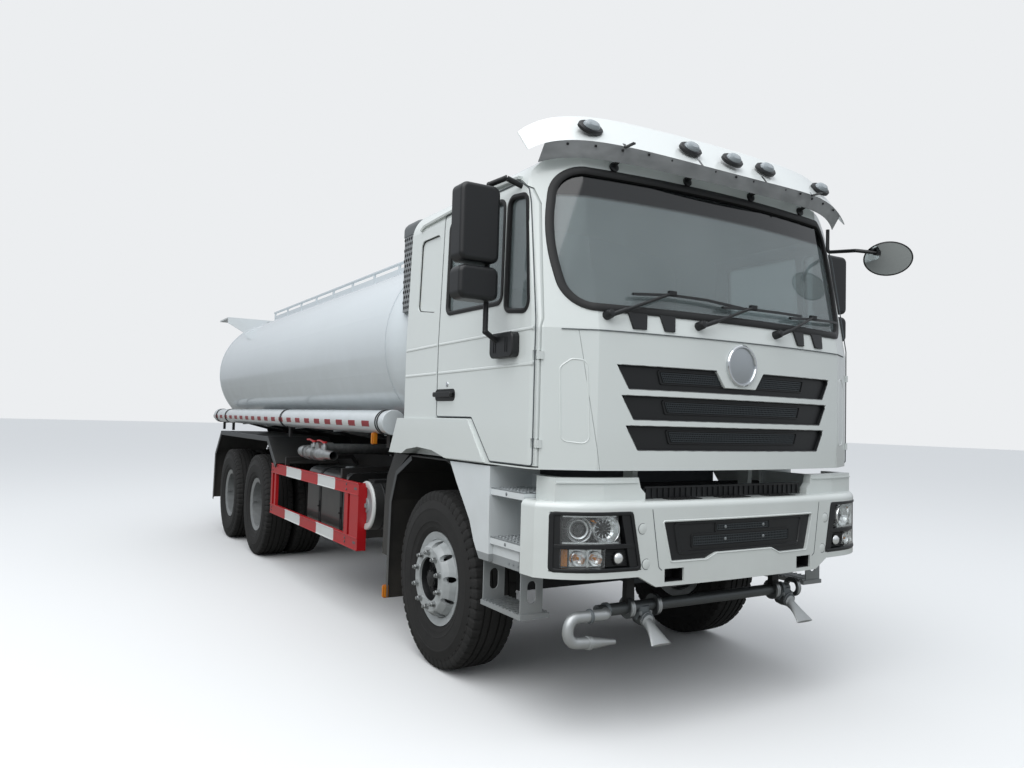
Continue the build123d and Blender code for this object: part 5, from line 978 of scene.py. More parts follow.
for _, sign in SIDES:
    for x in (sign * 0.470, sign * 0.655):
        for shift in (-0.0065, 0.0065):
            flanges.append(turned(collar(0.0055, 0.034, 0.058), on_pipe(x + shift), LEFT, 28, True))
        nuts += bolts(circle(on_pipe(x + 0.012), 0.046, 6), LEFT, 0.006, 0.006)
    # Valve body, clamp and hinge bolts of the bill
    bodies.append(turned(collar(0.040, 0.030, 0.042, 0.004), on_pipe(sign * 0.562, -0.006, -0.030), UP, 28))
    hinge = on_pipe(sign * 0.562, -0.052, -0.062)
    bodies.append(turned(collar(0.010, 0.030, 0.040), hinge, (0, 1, 0.2), 28, True))
    nuts += bolts([on_pipe(sign * 0.562 + x, -0.040, -0.028) for x in (-0.034, 0.034)], FRONT, 0.007, 0.008)
bodies += [turned(collar(0.010, 0.033, 0.040), on_pipe(x), LEFT, 28, True) for x in (-0.800, 0.540)]
bodies.append(turned(collar(0.010, 0.030, 0.036, 0.004), on_pipe(-0.960, -0.075, 0.002), LEFT, 28, True))
made("pipe_flanges", [(pipe_silver, flanges), (zinc, nuts), (valve_grey, bodies)], "chassis")
for side, x in (("right", -0.650), ("left", 0.480)):
    clamp = [turned(collar(0.016, 0.031, 0.037), on_pipe(x), LEFT, 24, True)]
    clamp += bolts([on_pipe(x, -0.036, 0.026)], FRONT, 0.007, 0.008)
    made(f"pipe_clamp_{side}", [(zinc, clamp)], "chassis")


# ---- Tank
# Rolled steel shell with pressed ends in white gloss, a bead of weld round each end, and a
# manway whose lid is held down by swing clamps.
def arc(a, b, c, steps):
    """Points of the circle through three places, from the first towards the last."""
    (ax, ay), (bx, by), (cx, cy) = a, b, c
    d = 2 * (ax * (by - cy) + bx * (cy - ay) + cx * (ay - by))
    squares = (ax * ax + ay * ay, bx * bx + by * by, cx * cx + cy * cy)
    ox = (squares[0] * (by - cy) + squares[1] * (cy - ay) + squares[2] * (ay - by)) / d
    oy = (squares[0] * (cx - bx) + squares[1] * (ax - cx) + squares[2] * (bx - ax)) / d
    start, end = math.atan2(ay - oy, ax - ox), math.atan2(cy - oy, cx - ox)
    step = ((end - start + math.pi) % math.tau - math.pi) / steps
    radius = math.hypot(ax - ox, ay - oy)
    turns = [start + step * k for k in range(steps)]
    return [(ox + radius * math.cos(turn), oy + radius * math.sin(turn)) for turn in turns]


tank_gloss = paint("tank_white_gloss", "#d3dbdf", roughness=0.24, dust=("#8d877d", 1.3, 2.3, 0.45), peel=0.08)
repaint(tank_gloss, "tank_shell", "hose_tubes", "top_rails", "manway_lid")
tank_mid_z = 2.145
# Half of the oval, clockwise from the top's right corner to the bottom's left one; the other half is its mirror
half_oval = []
for a, b, c, steps in (
    ((0.640, 0.723), (0.966, 0.542), (1.165, 0.225), 18),
    ((1.165, 0.225), (1.200, 0), (1.165, -0.225), 12),
    ((1.165, -0.225), (0.966, -0.542), (0.640, -0.723), 18),
    ((0.640, -0.723), (0, -0.805), (-0.640, -0.723), 18),
):
    half_oval += arc(a, b, c, steps)
tank_line = half_oval + [(-x, -z) for x, z in half_oval]
round_tank_shell = lambda point, out: at(point.x, out, tank_mid_z + point.y)
seams = []
for y in (0.885, 7.005):
    bead = ((0.003, y - 0.005), (-0.0015, y - 0.003), (-0.003, y), (-0.0015, y + 0.003), (0.003, y + 0.005))
    seams.append(band(tank_line, bead, round_tank_shell))
manway = at(0, 3.6, 3.020)
seams.append(turned(((-0.085, 0.262), (-0.072, 0.270), (-0.062, 0.262)), manway, UP, 48))
made("tank_seams", [(tank_gloss, seams)], "chassis", 60)
# Six swing clamps, a vent and a gauge plug on the lid
clamps = []
for turn in (math.tau * (k + 0.5) / 6 for k in range(6)):
    foot = manway + Vector((math.cos(turn), math.sin(turn), 0)) * 0.252
    clamps.append(rod((foot + Vector((0, 0, 0.008)), foot + Vector((0, 0, 0.062))), 0.008, 10))
    clamps.append(turned(((0.040, 0.008), (0.040, 0.022), (0.050, 0.022), (0.056, 0.012), (0.056, 0)), foot, UP, 12))
    clamps.append(turned(((0.012, 0.016), (0.020, 0.016), (0.020, 0)), foot, UP, 16))
vent = ((0.030, 0.05), (0.058, 0.048), (0.058, 0.060), (0.066, 0.060), (0.070, 0.05), (0.070, 0))
plug = ((0.034, 0.026), (0.052, 0.026), (0.056, 0.020), (0.056, 0))
vents = [turned(vent, manway + Vector((0.08, 0, 0)), UP, 28), turned(plug, manway + Vector((-0.09, 0.05, 0)), UP, 20)]
vent_grey = grained("vent_cast_grey", "#8a8e90", 0.5, 3, 0.3, metallic=0.4)
made("manway_fittings", [(vent_grey, vents), (zinc, clamps)], "manway_lid")
post_feet = []
for x in (-0.5, 0.5):
    for y in (1.0 + k * 5.9 / 9 for k in range(10)):
        foot = ((-0.004, 0.040), (0.006, 0.040), (0.008, 0.037), (0.008, 0))
        post_feet.append(turned(foot, at(x, y, 2.899), (math.copysign(0.2, x), 0, 1), 20))
        post_feet += bolts([at(x + dx, y, 2.905) for dx in (-0.027, 0.027)], UP, 0.005, 0.005)
made("rail_feet", [(tank_gloss, post_feet)], "chassis")


# ---- Platform and ladder
# Working platform over the tank's back end in raised-bar tread plate, with ribbed rubber
# sleeves on the ladder's rungs.
platform_white = paint(
    "platform_white_paint", "#d3d8da", roughness=0.4, coat=0.3, dust=("#7d776c", 0.9, 3.2, 0.6), peel=0.1
)
repaint(platform_white, "rear_platform")
deck = lambda point, out: at(point.x, point.y, 2.945 + out)
bar_pitch, row_pitch = 0.0374, 0.0365
tread_bars = []
for row in range(15):
    for k in range(60):
        centre = Vector((-1.105 + k * bar_pitch, 7.022 + row * row_pitch))
        lean = Vector((0.010, 0.010)) if (row + k) % 2 else Vector((0.010, -0.010))
        wide = Vector((-lean.y, lean.x)) * 0.28
        diamond = (centre - lean, centre + wide, centre + lean, centre - wide)
        tread_bars.append(plate(diamond, deck, -0.001, 0.0018))
made("platform_tread", [(platform_white, tread_bars)], "chassis")
ribs = [(-0.146 + n * 0.0146, 0.0165 if n % 2 else 0.0150) for n in range(21)]
sleeve = [(-0.150, 0.013), *ribs, (0.150, 0.013)]
sleeves = [turned(sleeve, at(0, 7.535, 0.980 + 0.290 * k), LEFT, 16) for k in range(6)]
made("rung_sleeves", [(rubber, sleeves)], "chassis")


# ---- Hose tubes
# Capped tubes along both sides for the suction hoses, held by doubled black straps and
# marked with red and white reflective tape, with amber side lamps hung below.
tape_red = paint("reflective_tape_red", "#8c0c1c", roughness=0.45, coat=0.15, dust=("#4a2a2a", 0.5, 1.7, 0.3))
tape_white = paint("reflective_tape_white", "#cdd0cf", roughness=0.42, coat=0.4, dust=("#8f8a80", 0.5, 1.7, 0.3))
strap_black = grained("strap_black", "#101112", 0.6, 2, 0.2)
amber_case = grained("lamp_case_amber", "#b4620f", 0.35, 2, 0.1)
tube_x, tube_z, tube_radius = 1.152, 1.550, 0.090
tape_step, red_length = 0.3045, 0.155
tape_low, tape_high = -0.42, 0.08  # as turns round the tube from its outer side, in radians
cap = ((-0.045, 0.0895), (-0.045, 0.0935), (0.0, 0.0935), (0.004, 0.090), (0.006, 0.078), (0.006, 0))
for side, sign in SIDES:

    def on_tube(point, out):
        radius = tube_radius + out
        return at(sign * (tube_x + radius * math.cos(point.y)), point.x, tube_z + radius * math.sin(point.y))

    reds, whites, straps = [], [], []
    for start in (1.054 + k * tape_step for k in range(20)):
        change, end = start + red_length, start + tape_step
        reds.append(slab(rect(start, change, tape_low, tape_high), on_tube, 0.0, 0.0012, 1, 5))
        whites.append(slab(rect(change, end, tape_low, tape_high), on_tube, 0.0, 0.0008, 1, 5))
    for y in (0.90, 3.57, 6.33, 6.92):
        for shift in (-0.018, 0.022):
            strap = collar(0.008, tube_radius - 0.001, tube_radius + 0.0045)
            straps.append(turned(strap, at(sign * tube_x, y + shift, tube_z), BACK, 40, True))
        straps.append(block(at(sign * 1.13 - 0.012, y - 0.03, 1.36), at(sign * 1.13 + 0.012, y + 0.03, 1.462)))
    ends = [turned(cap, at(sign * tube_x, y, tube_z), (0, way, 0), 40) for y, way in ((0.780, -1), (7.090, 1))]
    made(f"tube_tape_{side}", [(tape_red, reds), (tape_white, whites)], "chassis")
    made(f"tube_straps_{side}", [(strap_black, straps)], "chassis")
    made(f"tube_caps_{side}", [(tank_gloss, ends)], "chassis")
    cases, lenses = [], []
    for x, y, z in ((1.196, 1.04, 1.425), (1.2005, 0.712, 0.345)):
        cases.append(block(at(sign * x - 0.018, y - 0.014, z - 0.045), at(sign * x + 0.018, y + 0.016, z + 0.045)))
        cases.append(rod((at(sign * x, y, z + 0.04), at(sign * (x - 0.012), y, z + 0.075)), 0.005, 8))
        ahead_face = lambda point, out: at(sign * x + point.x, y - 0.014 - out, z + point.y)
        side_face = lambda point, out: at(sign * (x + 0.018 + out), y + point.x, z + point.y)
        for outline, face, high in (
            (rect(-0.015, 0.015, -0.040, 0.040), ahead_face, 0.008),
            (rect(-0.011, 0.013, -0.040, 0.040), side_face, 0.006),
        ):
            lenses.append(plate(rounded(outline, 0.006, 3), face, 0.0, high))
    made(f"side_lamps_{side}", [(amber_case, cases), (amber_lens, lenses)], "chassis", edge=0.002)


# ---- Side and rear guards
# Folded steel channels in signal red, their rails banded in white, with lipped edges,
# slotted end posts and grey struts up to the frame.
signal_red = paint("signal_red_gloss", "#b00813", roughness=0.4, coat=0.15, dust=("#5a2222", 0.3, 1.2, 0.4), peel=0.1)
strut_grey = grained("strut_grey_paint", "#5a5e61", 0.5, 4, 0.2)
repaint(signal_red, "side_guards", "rear_guard")
band_white = paint("guard_band_white", "#dfe3e3", roughness=0.38, dust=("#8f8a80", 0.3, 1.2, 0.4), peel=0.1)
red_spans = ((1.262, 1.824), (2.296, 2.807), (3.317, 3.898))
white_spans = ((1.824, 2.296), (2.807, 3.317))
for side, sign in SIDES:
    guard_face = lambda point, out: at(sign * (1.225 + out), *point)
    lips, whites, dark = [], [], []
    for low_z, high_z in ((0.545, 0.643), (0.970, 1.068)):
        whites += [slab(rect(*span, low_z + 0.001, high_z - 0.001), guard_face, 0.0, 0.0012) for span in white_spans]
        for z in (low_z + 0.004, high_z - 0.004):
            for shapes, spans in ((lips, red_spans), (whites, white_spans)):
                shapes += [rod([guard_face((y, z), 0.001) for y in span], 0.0045, 8) for span in spans]
    for y in (1.4505, 1.502, 1.578, 3.712, 3.768):
        lips.append(rod([guard_face((y, z), -0.003) for z in (0.648, 0.966)], 0.004, 8))
    for z in (0.60, 1.02):
        dark.append(plate(rounded(rect(1.300, 1.360, z - 0.010, z + 0.010), 0.0095), guard_face, 0.0, 0.0006))
    heads = [at(sign * 1.226, y, z) for y in (1.54, 3.84) for z in (0.58, 0.61, 1.00, 1.04)]
    dark += bolts(heads, (sign, 0, 0), 0.006, 0.005)
    guard_parts = [(signal_red, lips), (band_white, whites), (strut_grey, dark)]
    made(f"guard_bands_{side}", guard_parts, "chassis")
# Slanting bands and the blank number plate on the rear guard
rear_face = lambda point, out: at(point[0], 7.430 + out, point[1])
band_starts = (-1.02 + k * 0.46 for k in range(5))
bands = [((x, 0.501), (x + 0.16, 0.501), (x + 0.26, 0.619), (x + 0.10, 0.619)) for x in band_starts]
rear_whites = [slab(corners, rear_face, 0.0, 0.0012) for corners in bands]
plate_line = rounded(rect(-0.22, 0.22, 0.505, 0.615), 0.012, 4)
plate_parts = [plate(plate_line, rear_face, 0.002, 0.005)]
plate_parts.append(band(plate_line, ridge((0.003, 0.004), (0.002, 0.0065)), rear_face))
made("rear_bands", [(band_white, rear_whites), (satin, plate_parts)], "chassis")
for side, sign in SIDES:
    mirrored = lambda point, out: rear_face((sign * point[0], point[1]), out)
    back = plate(rounded(rect(0.692, 1.108, 0.614, 0.730), 0.012, 4), mirrored, 0.0, 0.010)
    cluster = [(mould_black, [back])]
    for finish, x0, x1 in ((tape_red, 0.834, 0.966), (amber_lens, 0.974, 1.100), (satin, 0.700, 0.826)):
        panes = [plate(rounded(rect(x0, x1, 0.622, 0.722), 0.010, 4), mirrored, 0.010, 0.020)]
        for z in (0.632 + n * 0.0135 for n in range(7)):
            panes.append(rod([mirrored((x, z), 0.0195) for x in (x0 + 0.008, x1 - 0.008)], 0.0028, 6))
        cluster.append((finish, panes))
    made(f"rear_lamp_cluster_{side}", cluster, "chassis")


# ---- Side tanks and valves
# Fuel tank with strapped ends, a ribbed air-cleaner drum with a white end ring, and cast
# steel valves with red hand levers below the tank's water outlets.
tank_black = paint("side_tank_black", "#1b1e20", roughness=0.42, coat=0.25, dust=("#6f6a61", 0.2, 1.5, 0.4), peel=0.1)
repaint(tank_black, "side_tanks")
straps = []
for sign, strap_ys in ((-1, (2.01, 2.60)), (1, (1.98, 2.42))):
    for y in strap_ys:
        wrap = lambda point, out: at(sign * point.x, y + out, point.y)
        tank_outline = rounded(rect(0.485, 1.100, 0.540, 1.100), 0.090, 8)
        straps.append(band(tank_outline, ridge((0.005, -0.028), (0.005, 0.028)), wrap))
        straps.append(block(at(sign * 1.106 - 0.006, y - 0.012, 0.70), at(sign * 1.106 + 0.006, y + 0.012, 0.80)))
    straps += bolts([at(sign * 1.112, y, 0.75) for y in strap_ys], (sign, 0, 0), 0.007, 0.012)
filler_cap = ((0, 0.046), (0.006, 0.046), (0.006, 0.040), (0.030, 0.040), (0.034, 0.036), (0.034, 0))
# The drum lies across the truck; its ribs, white end ring, dished end and carrier
drum, drum_radius = at(-1.150, 1.265, 0.895), 0.189
rib = ((0, drum_radius), (0.006, drum_radius + 0.0045), (0.016, drum_radius + 0.0045), (0.022, drum_radius))
straps += [turned(rib, drum + Vector((0.07 + k * 0.07, 0, 0)), LEFT, 48) for k in range(7)]
end_ring = (
    (0.02, 0.186), (-0.006, 0.190), (-0.016, 0.184), (-0.020, 0.168), (-0.014, 0.142), (-0.004, 0.136), (0.02, 0.136),
)  # fmt: skip
dished_end = ((0.0, 0.137), (-0.006, 0.130), (0.0, 0.100), (-0.004, 0.060), (-0.012, 0.052), (-0.012, 0))
dished = [turned(filler_cap, at(-0.93, 2.30, 1.098), UP, 28), turned(dished_end, drum, LEFT, 40)]
dished.append(block(at(-1.174, 1.235, 0.880), at(-1.150, 1.295, 0.910)))
straps.append(block(at(-1.120, 1.20, 1.075), at(-0.62, 1.33, 1.095)))
dish_grey = grained("cleaner_dish_grey", "#8b9092", 0.4, 3, 0.2)
tank_parts = [(strap_black, straps), (tape_white, [turned(end_ring, drum, LEFT, 48, True)]), (dish_grey, dished)]
made("tank_straps", tank_parts, "chassis")
ribs = [rod((at(1.100, 2.06, z), at(1.100, 2.35, z)), 0.006, 8) for z in (0.62, 0.70, 0.78, 0.86, 0.94, 1.02)]
ribs.append(rod((at(1.104, 1.90, 1.03), at(1.104, 1.96, 1.03)), 0.006, 8))
made("battery_box_ribs", [(tank_black, ribs)], "chassis")
valve_steel, tree, shader = new_finish("bright_cast_steel", Metallic=0.85, Roughness=0.32)
tint(tree, shader, object_noise(tree, 30, 4), "#c6c8c7", "#85888a")
bump(tree, shader, (4, 3), 0.25, 0.4)
repaint(valve_steel, "side_valves")
lever_red = paint("lever_red", "#c01d24", roughness=0.4, coat=0.3)
# Forms along each valve's line: the outlet pipe, a flange, the valve's body and a coupling
valve_forms = (
    (2.20, (
        (0, 0.040), (0.22, 0.040), (0.24, 0.052), (0.28, 0.052), (0.30, 0.062), (0.42, 0.062), (0.44, 0.048),
        (0.50, 0.045),
    )),
    (2.70, ((0, 0.045), (0, 0.066), (0.018, 0.066), (0.020, 0.045), (0.06, 0.050), (0.12, 0.054), (0.17, 0.050))),
    (2.865, (
        (0, 0.046), (0.004, 0.070), (0.018, 0.070), (0.022, 0.046), (0.10, 0.046), (0.10, 0.066), (0.118, 0.066),
        (0.120, 0.046), (0.16, 0.046),
    )),
    (3.025, ((0, 0.046), (0.02, 0.058), (0.08, 0.058), (0.10, 0.050), (0.13, 0.050), (0.15, 0.040), (0.155, 0))),
)  # fmt: skip
spindle = ((0.04, 0.034), (0.085, 0.030), (0.085, 0.016), (0.112, 0.014), (0.112, 0))
lever_line = ((-0.015, 0.108), (0.05, 0.110), (0.15, 0.122), (0.22, 0.118))
for side, sign in SIDES:
    on_lane = lambda y, x=0.0, z=0.0: at(sign * 1.120 + x, y, 1.232 + z)
    fittings = [turned(profile, on_lane(start), BACK, 32) for start, profile in valve_forms]
    levers, nuts = [], []
    for y in (2.46, 2.78):
        fittings.append(turned(spindle, on_lane(y), UP, 20))
        levers.append(rod([on_lane(y + dy, 0, z) for dy, z in lever_line], 0.0095, 10))
        levers.append(turned(((0.100, 0.022), (0.118, 0.022), (0.118, 0)), on_lane(y), UP, 16))
    for y in (2.709, 2.876, 2.974):
        for turn in (math.tau * (k + 0.5) / 4 for k in range(4)):
            x, z = 0.055 * math.cos(turn), 0.055 * math.sin(turn)
            nuts.append(rod((on_lane(y - 0.014, x, z), on_lane(y + 0.016, x, z)), 0.006, 6))
    valve_parts = [(valve_steel, fittings), (lever_red, levers), (zinc, nuts)]
    made(f"valve_fittings_{side}", valve_parts, "chassis")


# ---- Mudguards and frame
# Folded black sheet with a dusty grey outer edge, and ladder-frame rails in black paint
# with two rows of flanged bolts, in road dust towards the ground.
sheet_black = paint("mudguard_black", "#121416", roughness=0.5, coat=0.1, dust=("#6b665d", 0.2, 1.5, 0.55), peel=0.1)
edge_grey = paint("mudguard_edge_grey", "#3c4043", roughness=0.5, coat=0.1, dust=("#77716a", 0.3, 1.5, 0.5), peel=0.1)
chassis_black = paint("chassis_black_paint", "#101214", roughness=0.5, coat=0.1, dust=("#5f5a52", 0.2, 1.5, 0.6))
repaint(sheet_black, "mudguards")
repaint(chassis_black, "chassis_frame", "tank_bearers")
for side, sign in SIDES:
    guard_edges, frame_bolts = [], []
    for half, rise, x, line in (
        (0.027, 0.004, 1.240, ((3.690, 1.051), (4.067, 1.318), (6.537, 1.318), (6.880, 1.008), (6.920, 0.393))),
        (0.018, 0.003, 1.200, ((0.330, 1.318), (0.582, 1.196), (0.672, 0.992), (0.686, 0.700), (0.690, 0.310))),
    ):
        outer = lambda point, out: at(sign * (x + out), *point)
        edge = ridge((half, 0.0), (half - rise + 0.001, rise))
        guard_edges.append(band(divided(line, 0.25, False), edge, outer, False))
    made(f"mudguard_edges_{side}", [(edge_grey, guard_edges)], "chassis")
    for y in (-1.10 + k * 0.325 for k in range(26)):
        heads = [at(sign * 0.4255, y + dy, z) for dy, z in ((0, 0.860), (0, 1.040), (0.06, 0.950))]
        frame_bolts += bolts(heads, (sign, 0, 0), 0.009, 0.009)
    made(f"frame_bolts_{side}", [(chassis_black, frame_bolts)], "chassis")


# ---- Air intake
# Tall column behind the cab's right corner: grey punched casing under a curled hood, on a
# plain black duct down to the air cleaner.
def upright_box(x0, x1, y0, y1, radius, levels):
    """A round-cornered upright duct, as wide as its (inset, height) levels leave it."""
    outlines = []
    for inset, z in levels:
        corners = rect(x0 + inset, x1 - inset, y0 + inset, y1 - inset)
        outlines.append([at(*point, z) for point in rounded(corners, radius, 5)])
    return stacked(outlines)


column = [upright_box(-1.158, -0.930, 0.425, 0.705, 0.040, ((0, 2.350), (0, 2.900)))]
duct = [upright_box(-1.070, -0.890, 0.425, 0.535, 0.030, ((0, 1.350), (0, 2.365)))]
for z in (1.42, 1.80, 2.20):
    duct.append(upright_box(-1.076, -0.884, 0.419, 0.541, 0.034, ((0, z), (0, z + 0.022))))
hood_levels = ((0, 2.896), (0, 2.950), (0.006, 2.972), (0.020, 2.990), (0.040, 3.000))
hood = [upright_box(-1.162, -0.926, 0.421, 0.709, 0.040, hood_levels)]
# Black discs over the casing's punched holes: painted shade seen through them
pierced = []
hole, hole_pitch = ((0, 0.0125), (0.0008, 0.0125), (0.0008, 0)), 0.036
for row in range(14):
    z, shift = 2.380 + row * 0.038, hole_pitch / 2 * (row % 2)
    for y in (0.468 + shift + k * hole_pitch for k in range(6)):
        pierced.append(turned(hole, at(-1.158, y, z), (-1, 0, 0), 12))
    for x in (-1.110 + shift + k * hole_pitch for k in range(4)):
        pierced.append(turned(hole, at(x, 0.705, z), BACK, 12))
duct_black = grained("intake_duct_black", "#1b1d1f", 0.5, 3, 0.3)
casing_grey = grained("intake_casing_grey", "#85898b", 0.45, 3, 0.2)
hood_grey = grained("intake_hood_grey", "#5f6365", 0.5, 3, 0.2)
intake = [(duct_black, duct), (casing_grey, column), (hood_grey, hood), (hole_shade, pierced)]
made("intake_column", intake, "chassis", stands_for=("air_intake",))


# ---- Tyres
# Steel-belted radial truck tyres, 1124 mm over the tread: four grooves round it, notched
# shoulder blocks and moulded rings on the walls. The rubber's tone varies in patches.
wheel_z = 0.562
front_wheel_x, rear_wheel_x, twin_spacing = 1.018, 0.908, 0.350
# Axial and radial places from the tread's middle line down one wall to the bead
tyre_half = (
    (0.000, 0.5620), (0.024, 0.5620), (0.027, 0.5500), (0.036, 0.5500), (0.039, 0.5618), (0.070, 0.5612),
    (0.073, 0.5490), (0.083, 0.5490), (0.086, 0.5606), (0.120, 0.5590), (0.134, 0.5540), (0.143, 0.5420),
    (0.1465, 0.5240), (0.1480, 0.5060), (0.1505, 0.5040), (0.1505, 0.4960), (0.1520, 0.4940), (0.1560, 0.4500),
    (0.1575, 0.4480), (0.1575, 0.4400), (0.1562, 0.4380), (0.1570, 0.4050), (0.1530, 0.3700), (0.1542, 0.3680),
    (0.1532, 0.3620), (0.1505, 0.3600), (0.1400, 0.3320), (0.1405, 0.3290), (0.1340, 0.3160), (0.1240, 0.3010),
    (0.1120, 0.2965), (0.1120, 0.2625),
)  # fmt: skip
tyre_line = [(-axial, radial) for axial, radial in tyre_half[:0:-1]] + list(tyre_half)
notch_count, steps_per_notch = 56, 5
shoulder_depth, rib_depth = 0.011, 0.006
rubber_tread, tree, shader = new_finish("tyre_rubber", Roughness=0.82)
tint(tree, shader, object_noise(tree, 90, 5), "#101111", "#242322")
bump(tree, shader, (3, 3), 0.3, 0.4)


def tyre(middle_x, axle_y):
    """One tyre as points and faces, its shoulders and inner ribs cut by notches across the blocks."""
    points, faces = [], []
    steps, width = notch_count * steps_per_notch, len(tyre_line)
    for k in range(steps):
        turn, phase = math.tau * k / steps, k % steps_per_notch
        for axial, radial in tyre_line:
            reach = abs(axial)
            cut = 0.0
            if reach > 0.088 and radial > 0.50 and phase == (0 if axial > 0 else 2):
                cut = shoulder_depth
            elif 0.040 < reach < 0.071 and radial > 0.55 and phase == 3:
                cut = rib_depth
            lean = 0.004 if reach > 0.14 and cut else 0.0
            across = math.copysign(reach - lean, axial) if reach else 0.0
            r = radial - cut
            points.append((middle_x + across, axle_y + r * math.cos(turn), wheel_z + r * math.sin(turn)))
        a, b = k * width, (k + 1) % steps * width
        faces += [(a + n, b + n, b + (n + 1) % width, a + (n + 1) % width) for n in range(width)]
    return points, faces


for side, sign in SIDES:
    single = [tyre(sign * front_wheel_x, front_axle_y)]
    twin_xs = (sign * rear_wheel_x - twin_spacing / 2, sign * rear_wheel_x + twin_spacing / 2)
    rows = [(f"front_{side}", f"tyre_front_{side}", single)]
    for number, axle_y in enumerate(rear_axle_ys, 1):
        rows.append((f"rear_{number}_{side}", f"tyres_rear_{number}_{side}", [tyre(x, axle_y) for x in twin_xs]))
    for label, node, tyres in rows:
        body = f"wheel_{label}"
        made(f"tyre_detail_{label}", [(rubber_tread, tyres)], body, 32, stands_for=(node,))


# ---- Wheels
# Pressed steel discs in silver lacquer with round hand holes. Long studs with cone nuts hold
# them, and the hub in the middle is black cast iron with a capped bearing.
def wheel_finish(name, axle_y, black_radius, tints):
    """Silver lacquer, darker in random patches, with the hub inside a radius left black."""
    material, tree, shader = new_finish(name, Coat_Weight=0.25, Coat_Roughness=0.15)
    place = add_node(tree, "SeparateXYZ", Vector=add_node(tree, "TexCoord").outputs["Object"])
    squares = []
    for axis, middle in (("Y", axle_y), ("Z", wheel_z)):
        off = add_node(tree, "Math", {"operation": "SUBTRACT"}, Value=place.outputs[axis], Value_001=middle)
        squares.append(add_node(tree, "Math", {"operation": "MULTIPLY"}, Value=off, Value_001=off))
    total = add_node(tree, "Math", {"operation": "ADD"}, Value=squares[0], Value_001=squares[1])
    radius = add_node(tree, "Math", {"operation": "SQRT"}, Value=total)
    edge = {"From_Min": black_radius - 0.0005, "From_Max": black_radius + 0.0005}
    outside_hub = add_node(tree, "MapRange", Value=radius, **edge)
    grime = object_noise(tree, 60, 5)
    silvers = {"A_Color": linear(tints[0]), "B_Color": linear(tints[1])}
    silver = add_node(tree, "Mix", {"data_type": "RGBA"}, Factor_Float=grime, **silvers)
    colours = {"A_Color": linear("#101214"), "B_Color": first_output(silver)}
    mixed = add_node(tree, "Mix", {"data_type": "RGBA"}, Factor_Float=outside_hub, **colours)
    tree.links.new(first_output(mixed), shader.inputs["Base Color"])
    shine = add_node(tree, "MapRange", Value=grime, To_Min=0.3, To_Max=0.5)
    tree.links.new(shine.outputs[0], shader.inputs["Roughness"])
    bump(tree, shader, (8, 3), 0.12, 0.3)
    return material


stud_steel = plain("plated_stud_steel", "#a5a8a8", ((4, 2), 0.15, 0.2), Metallic=0.9, Roughness=0.35)
hub_black = grained("cast_hub_black", "#101112", 0.5, 3, 0.3)
stud_forms = (
    # cone seat, six-sided nut and the stud's end, each with its number of sides
    (((-0.002, 0.021), (0.004, 0.020), (0.006, 0.016)), 18),
    (((0.005, 0.0165), (0.026, 0.0165), (0.029, 0.013), (0.029, 0.0)), 6),
    (((0.027, 0.0105), (0.038, 0.0105), (0.040, 0.008), (0.040, 0)), 12),
)
hub_cap = ((-0.004, 0.050), (0.004, 0.048), (0.008, 0.040), (0.009, 0.020), (0.012, 0.016), (0.012, 0))
hub_ring = ((0.0, 0.072), (0.006, 0.074), (0.006, 0.084), (0.0, 0.086))
stem_line = ((0.0, 0.236), (0.03, 0.232), (0.052, 0.222))  # outward, and out from the axle
front_tints, rear_tints = ("#b4b9ba", "#8f9393"), ("#8b8e8e", "#66696a")
for side, sign in SIDES:
    wheels = [(f"front_{side}", f"rim_front_{side}", front_tints, front_wheel_x, front_axle_y)]
    for number, axle_y in enumerate(rear_axle_ys, 1):
        wheels.append((f"rear_{number}_{side}", f"rims_rear_{number}_{side}", rear_tints, rear_wheel_x, axle_y))
    for label, node, tints, middle_x, axle_y in wheels:
        front = axle_y == front_axle_y
        # Outward from the wheel's middle: the nuts' seat, the hub cap and the valve stem
        seat, cap_out, stem_out = (0.186, 0.168, 0.110) if front else (0.016, 0.136, 0.235)
        # Radii of the ring of nuts and of the black hub
        nut_ring, black_radius = (0.170, 0.137) if front else (0.162, 0.118)
        body, outward = f"wheel_{label}", (sign, 0, 0)
        out_from_wheel = lambda out, rearwards=0.0: Vector((sign * (middle_x + out), axle_y + rearwards, wheel_z))
        repaint(wheel_finish(f"wheel_silver_{label}", axle_y, black_radius, tints), node)
        studs = []
        for place in circle(out_from_wheel(seat), nut_ring, 10, 0.5):
            studs += [turned(form, place, outward, sides) for form, sides in stud_forms]
        made(f"wheel_nuts_{label}", [(stud_steel, studs)], body)
        trim = [turned(hub_cap, out_from_wheel(cap_out), outward, 36)]
        trim += bolts(circle(out_from_wheel(cap_out + 0.002), 0.052, 8), outward, 0.0045, 0.005)
        if front:
            # Ring of small bolts in the hub's hollow
            trim += bolts(circle(out_from_wheel(0.131), 0.096, 10), outward, 0.008, 0.008)
            trim.append(turned(hub_ring, out_from_wheel(0.130), outward, 36, True))
        made(f"hub_cap_{label}", [(hub_black, trim)], body)
        # Valve stem through one hand hole
        stem = rod([out_from_wheel(stem_out + out, away) for out, away in stem_line], 0.005, 10)
        made(f"valve_stem_{label}", [(stud_steel, [stem])], body)


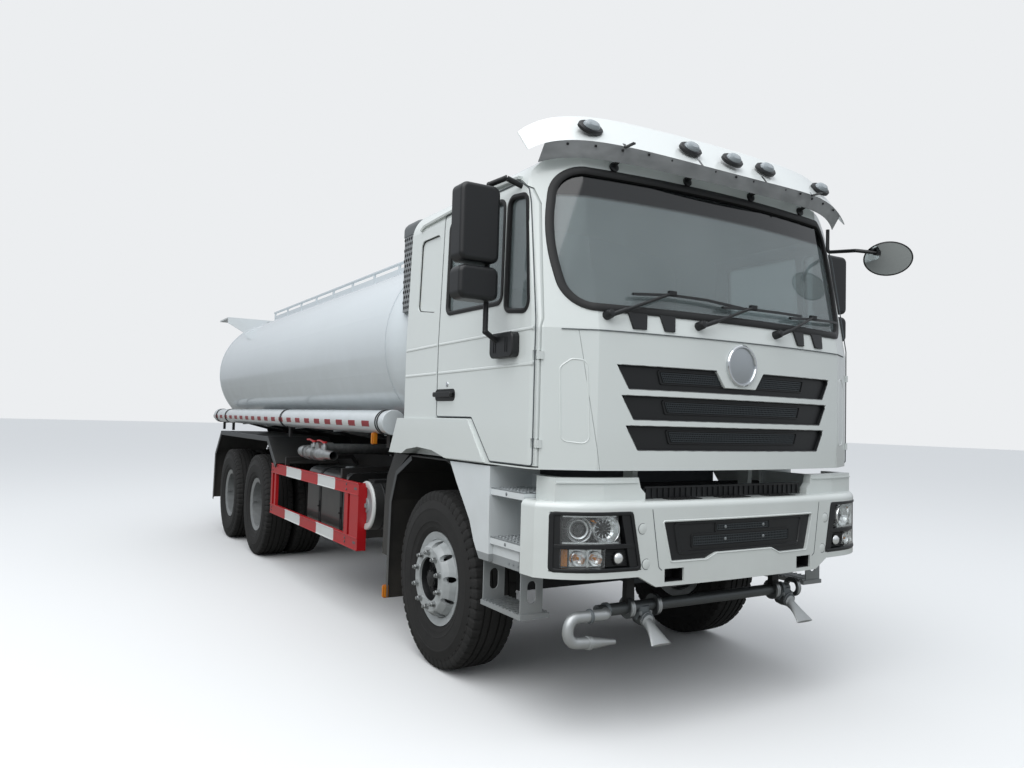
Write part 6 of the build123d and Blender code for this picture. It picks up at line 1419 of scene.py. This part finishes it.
# ---- Running gear and engine
# Springs, axles, driveline and engine are castings and forgings in dull grey-black paint,
# oiled and dusty, with a finned radiator behind the grille and covers on the engine.
gear_grey = grained("oiled_casting_grey", "#1d2022", 0.55, 5, 0.6, metallic=0.2, worn=0.7)
engine_grey = grained("engine_cast_grey", "#43484c", 0.5, 5, 0.7, metallic=0.3, worn=0.75)
spring_black = grained("spring_steel_black", "#15171a", 0.5, 4, 0.4, metallic=0.3)
repaint(gear_grey, "driveline", "front_axle", "rear_axles", "knuckle_left", "knuckle_right")
repaint(engine_grey, "engine_block")
repaint(spring_black, "leaf_springs")
core_black = grained("radiator_core_black", "#15171a", 0.7, 2, 0.3)
fins = [block(at(-0.44, -0.995, 0.72), at(0.44, -0.965, 1.24))]
fins += [block(at(x, -1.003, 0.74), at(x + 0.008, -0.994, 1.22)) for x in (-0.40 + k * 0.016 for k in range(50))]
baffle = lambda point, out: at(point.x, -0.980 + out, point.y)
for x0, x1 in ((-0.72, -0.43), (0.43, 0.72)):
    fins.append(plate(rounded(rect(x0, x1, 1.10, 1.24), 0.02), baffle, -0.004, 0.004))
rockers = []
for y in (-0.82 + k * 0.22 for k in range(6)):
    rockers.append(block(at(-0.25, y - 0.085, 1.478), at(0.25, y + 0.085, 1.500)))
    rockers += bolts([at(x, y + dy, 1.500) for x in (-0.22, 0.22) for dy in (-0.06, 0.06)], UP, 0.007, 0.007)
made("radiator_core", [(core_black, fins)], "chassis")
made("rocker_covers", [(engine_grey, rockers)], "chassis", edge=0.003)


# ---- Cab interior
# Grey woven seats with a darker stitched panel in the cushion, and a moulded dashboard and
# steering wheel.
seat_cloth, tree, shader = new_finish("seat_cloth_grey", Roughness=0.95, Sheen_Weight=0.3)
# The weave's ribs are drawn coarser than the real ones, so that they show
place = add_node(tree, "TexCoord").outputs["Object"]
weave = add_node(tree, "TexWave", {"bands_direction": "DIAGONAL"}, Vector=place, Scale=60.0, Distortion=1.0)
tint(tree, shader, weave.outputs["Fac"], "#55585c", "#6d7074")
bump(tree, shader, (2, 2), 0.5, 0.6)
seat_dark = grained("seat_panel_charcoal", "#2b2d30", 0.9, 2, 0.5)
dash_grey = grained("dashboard_soft_grey", "#4a4e52", 0.65, 1.5, 0.2)
repaint(seat_cloth, "seats")
repaint(dash_grey, "dashboard")
repaint(mould_black, "steering_wheel")
soften(0.02, "seats")
panels = []
seat_y = -0.43
for x in (-0.70, 0.70):
    seat_top = lambda point, out: at(x + point.x, seat_y + point.y, 1.775 + out)
    panels.append(plate(rounded(rect(-0.15, 0.15, -0.16, 0.16), 0.04), seat_top, -0.002, 0.004))
    for y in (seat_y - 0.08, seat_y, seat_y + 0.08):
        panels.append(rod((at(x - 0.14, y, 1.779), at(x + 0.14, y, 1.779)), 0.004, 6))
made("seat_panels", [(seat_dark, panels)], "cab")
